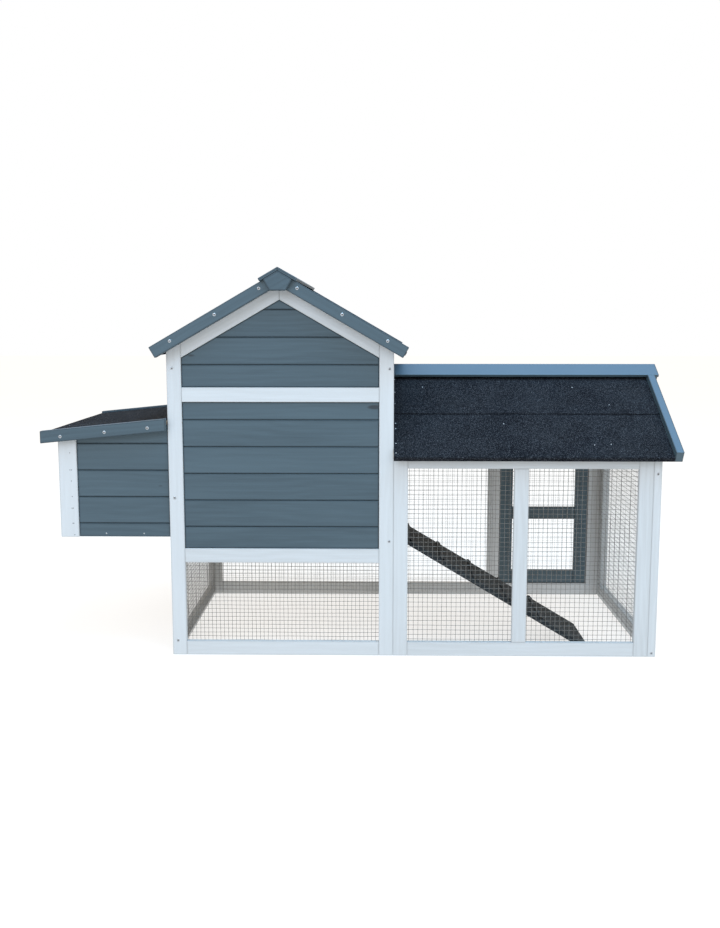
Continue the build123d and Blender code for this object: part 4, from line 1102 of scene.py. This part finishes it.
for name in ("hinge_fixed_leaves", "run_door_hinge_leaves", "house_door_hinge_leaves"):
    leaf_heads(name, body_of[name])

# %% [markdown]
# ## Parts that keep their modelled shape
#
# The hinge leaves, the pins and the tray's pan are plain metal already, true in shape and
# small or hidden in use. They only need their finish, and the felt and wire parts take theirs
# too, in case one is shown bare.

# %% Dress the parts that keep their modelled shape
PLAIN_FINISH = {
    "zinc_steel": screw_zinc, "tray_steel": sheet_zinc,
    "roofing_felt": mineral_felt, "wire_mesh": wire_zinc,
}
for name in sorted(nodes):
    if slot_of[name] in PLAIN_FINISH:
        mesh = nodes[name].data
        mesh.materials.clear()
        mesh.materials.append(PLAIN_FINISH[slot_of[name]])
print("finishes on carried parts")

# %% [markdown]
# ## Floor, light and camera
#
# The coop stands on a wide plain floor that fades into a white surround. The floor is grey
# paint that also gives off a little light: bright enough to look white, yet dark enough by
# itself for the coop's shadow to show.

# %% Floor
REACH = 30.0
corners = [(-REACH, -REACH, 0), (REACH, -REACH, 0), (REACH, REACH, 0), (-REACH, REACH, 0)]
floor_mesh = bpy.data.meshes.new("studio_floor")
floor_mesh.from_pydata(corners, [], [(0, 1, 2, 3)])
floor = bpy.data.objects.new("studio_floor", floor_mesh)
bpy.context.scene.collection.objects.link(floor)
floor_paint, tree, shader = begin("pale_floor", 0.9)
place = put(tree, "ShaderNodeTexCoord").outputs["Object"]
pale = blend(tree, noise(tree, place, 0.8), (0.3, 0.3, 0.3), (0.33, 0.33, 0.33))
tree.links.new(pale, shader.inputs["Base Color"])
shader.inputs["Specular IOR Level"].default_value = 0.0
shader.inputs["Emission Color"].default_value = (1.0, 0.99, 0.975, 1.0)
shader.inputs["Emission Strength"].default_value = 0.75
floor_mesh.materials.append(floor_paint)
print("floor", 2 * REACH, "m wide")

# %% [markdown]
# ## Light
#
# The surround has two colours. The camera sees plain white, and everything else is lit by a
# slightly warm one, which a Light Path node keeps apart. Three large square lamps are cool, as
# light from the sky is: one above, which is the strongest, a key on the front left that gives
# the frame its shape, and a weak fill on the right that keeps the shaded sides open.

# %% Surround and lamps
SURROUND = (0.87, 0.82, 0.76)
WHITE = (1.0, 1.0, 1.0)
LAMP_SIDE = 3.0
LAMPS = (  # name, place in metres, watts, tint
    ("key_lamp", (-2.4, -4.2, 3.4), 114.0, (0.61, 0.78, 1.0)),
    ("fill_lamp", (3.5, -3.6, 2.2), 38.0, (0.61, 0.8, 1.0)),
    ("top_lamp", (0.9, -1.2, 4.6), 216.0, (0.36, 0.69, 1.0)),
)
AIM = Vector((0, 0, 0.5))
world = bpy.data.worlds.new("studio")
world.use_nodes = True
tree = world.node_tree
seen = put(tree, "ShaderNodeLightPath").outputs["Is Camera Ray"]
sky = blend(tree, seen, SURROUND, WHITE)
tree.links.new(sky, tree.nodes["Background"].inputs["Color"])
tree.nodes["Background"].inputs["Strength"].default_value = 1.0
bpy.context.scene.world = world
bpy.context.scene.view_settings.view_transform = "Standard"
for name, place, power, tint in LAMPS:
    lamp = bpy.data.lights.new(name, "AREA")
    lamp.size = LAMP_SIDE
    lamp.energy = power
    lamp.color = tint
    made = bpy.data.objects.new(name, lamp)
    made.location = place
    made.rotation_euler = (AIM - Vector(place)).to_track_quat("-Z", "Y").to_euler()
    bpy.context.scene.collection.objects.link(made)
print("lamps:", [lamp[0] for lamp in LAMPS])

# %% [markdown]
# ## Camera
#
# The camera stands in front at about chest height, looking slightly down, so that the roofs
# show their slopes and the uprights stay nearly upright.

# %% Camera
LENS = 40.34
STANDS = (0.0465, -3.585, 1.0475)
LOOKS_DOWN = 7.72
LOOKS_LEFT = 0.955
camera_data = bpy.data.cameras.new("camera")
camera_data.lens = LENS
camera = bpy.data.objects.new("camera", camera_data)
camera.location = STANDS
camera.rotation_euler = (radians(90 - LOOKS_DOWN), 0, radians(LOOKS_LEFT))
bpy.context.scene.collection.objects.link(camera)
bpy.context.scene.camera = camera
print("camera", LENS, "mm at", STANDS)
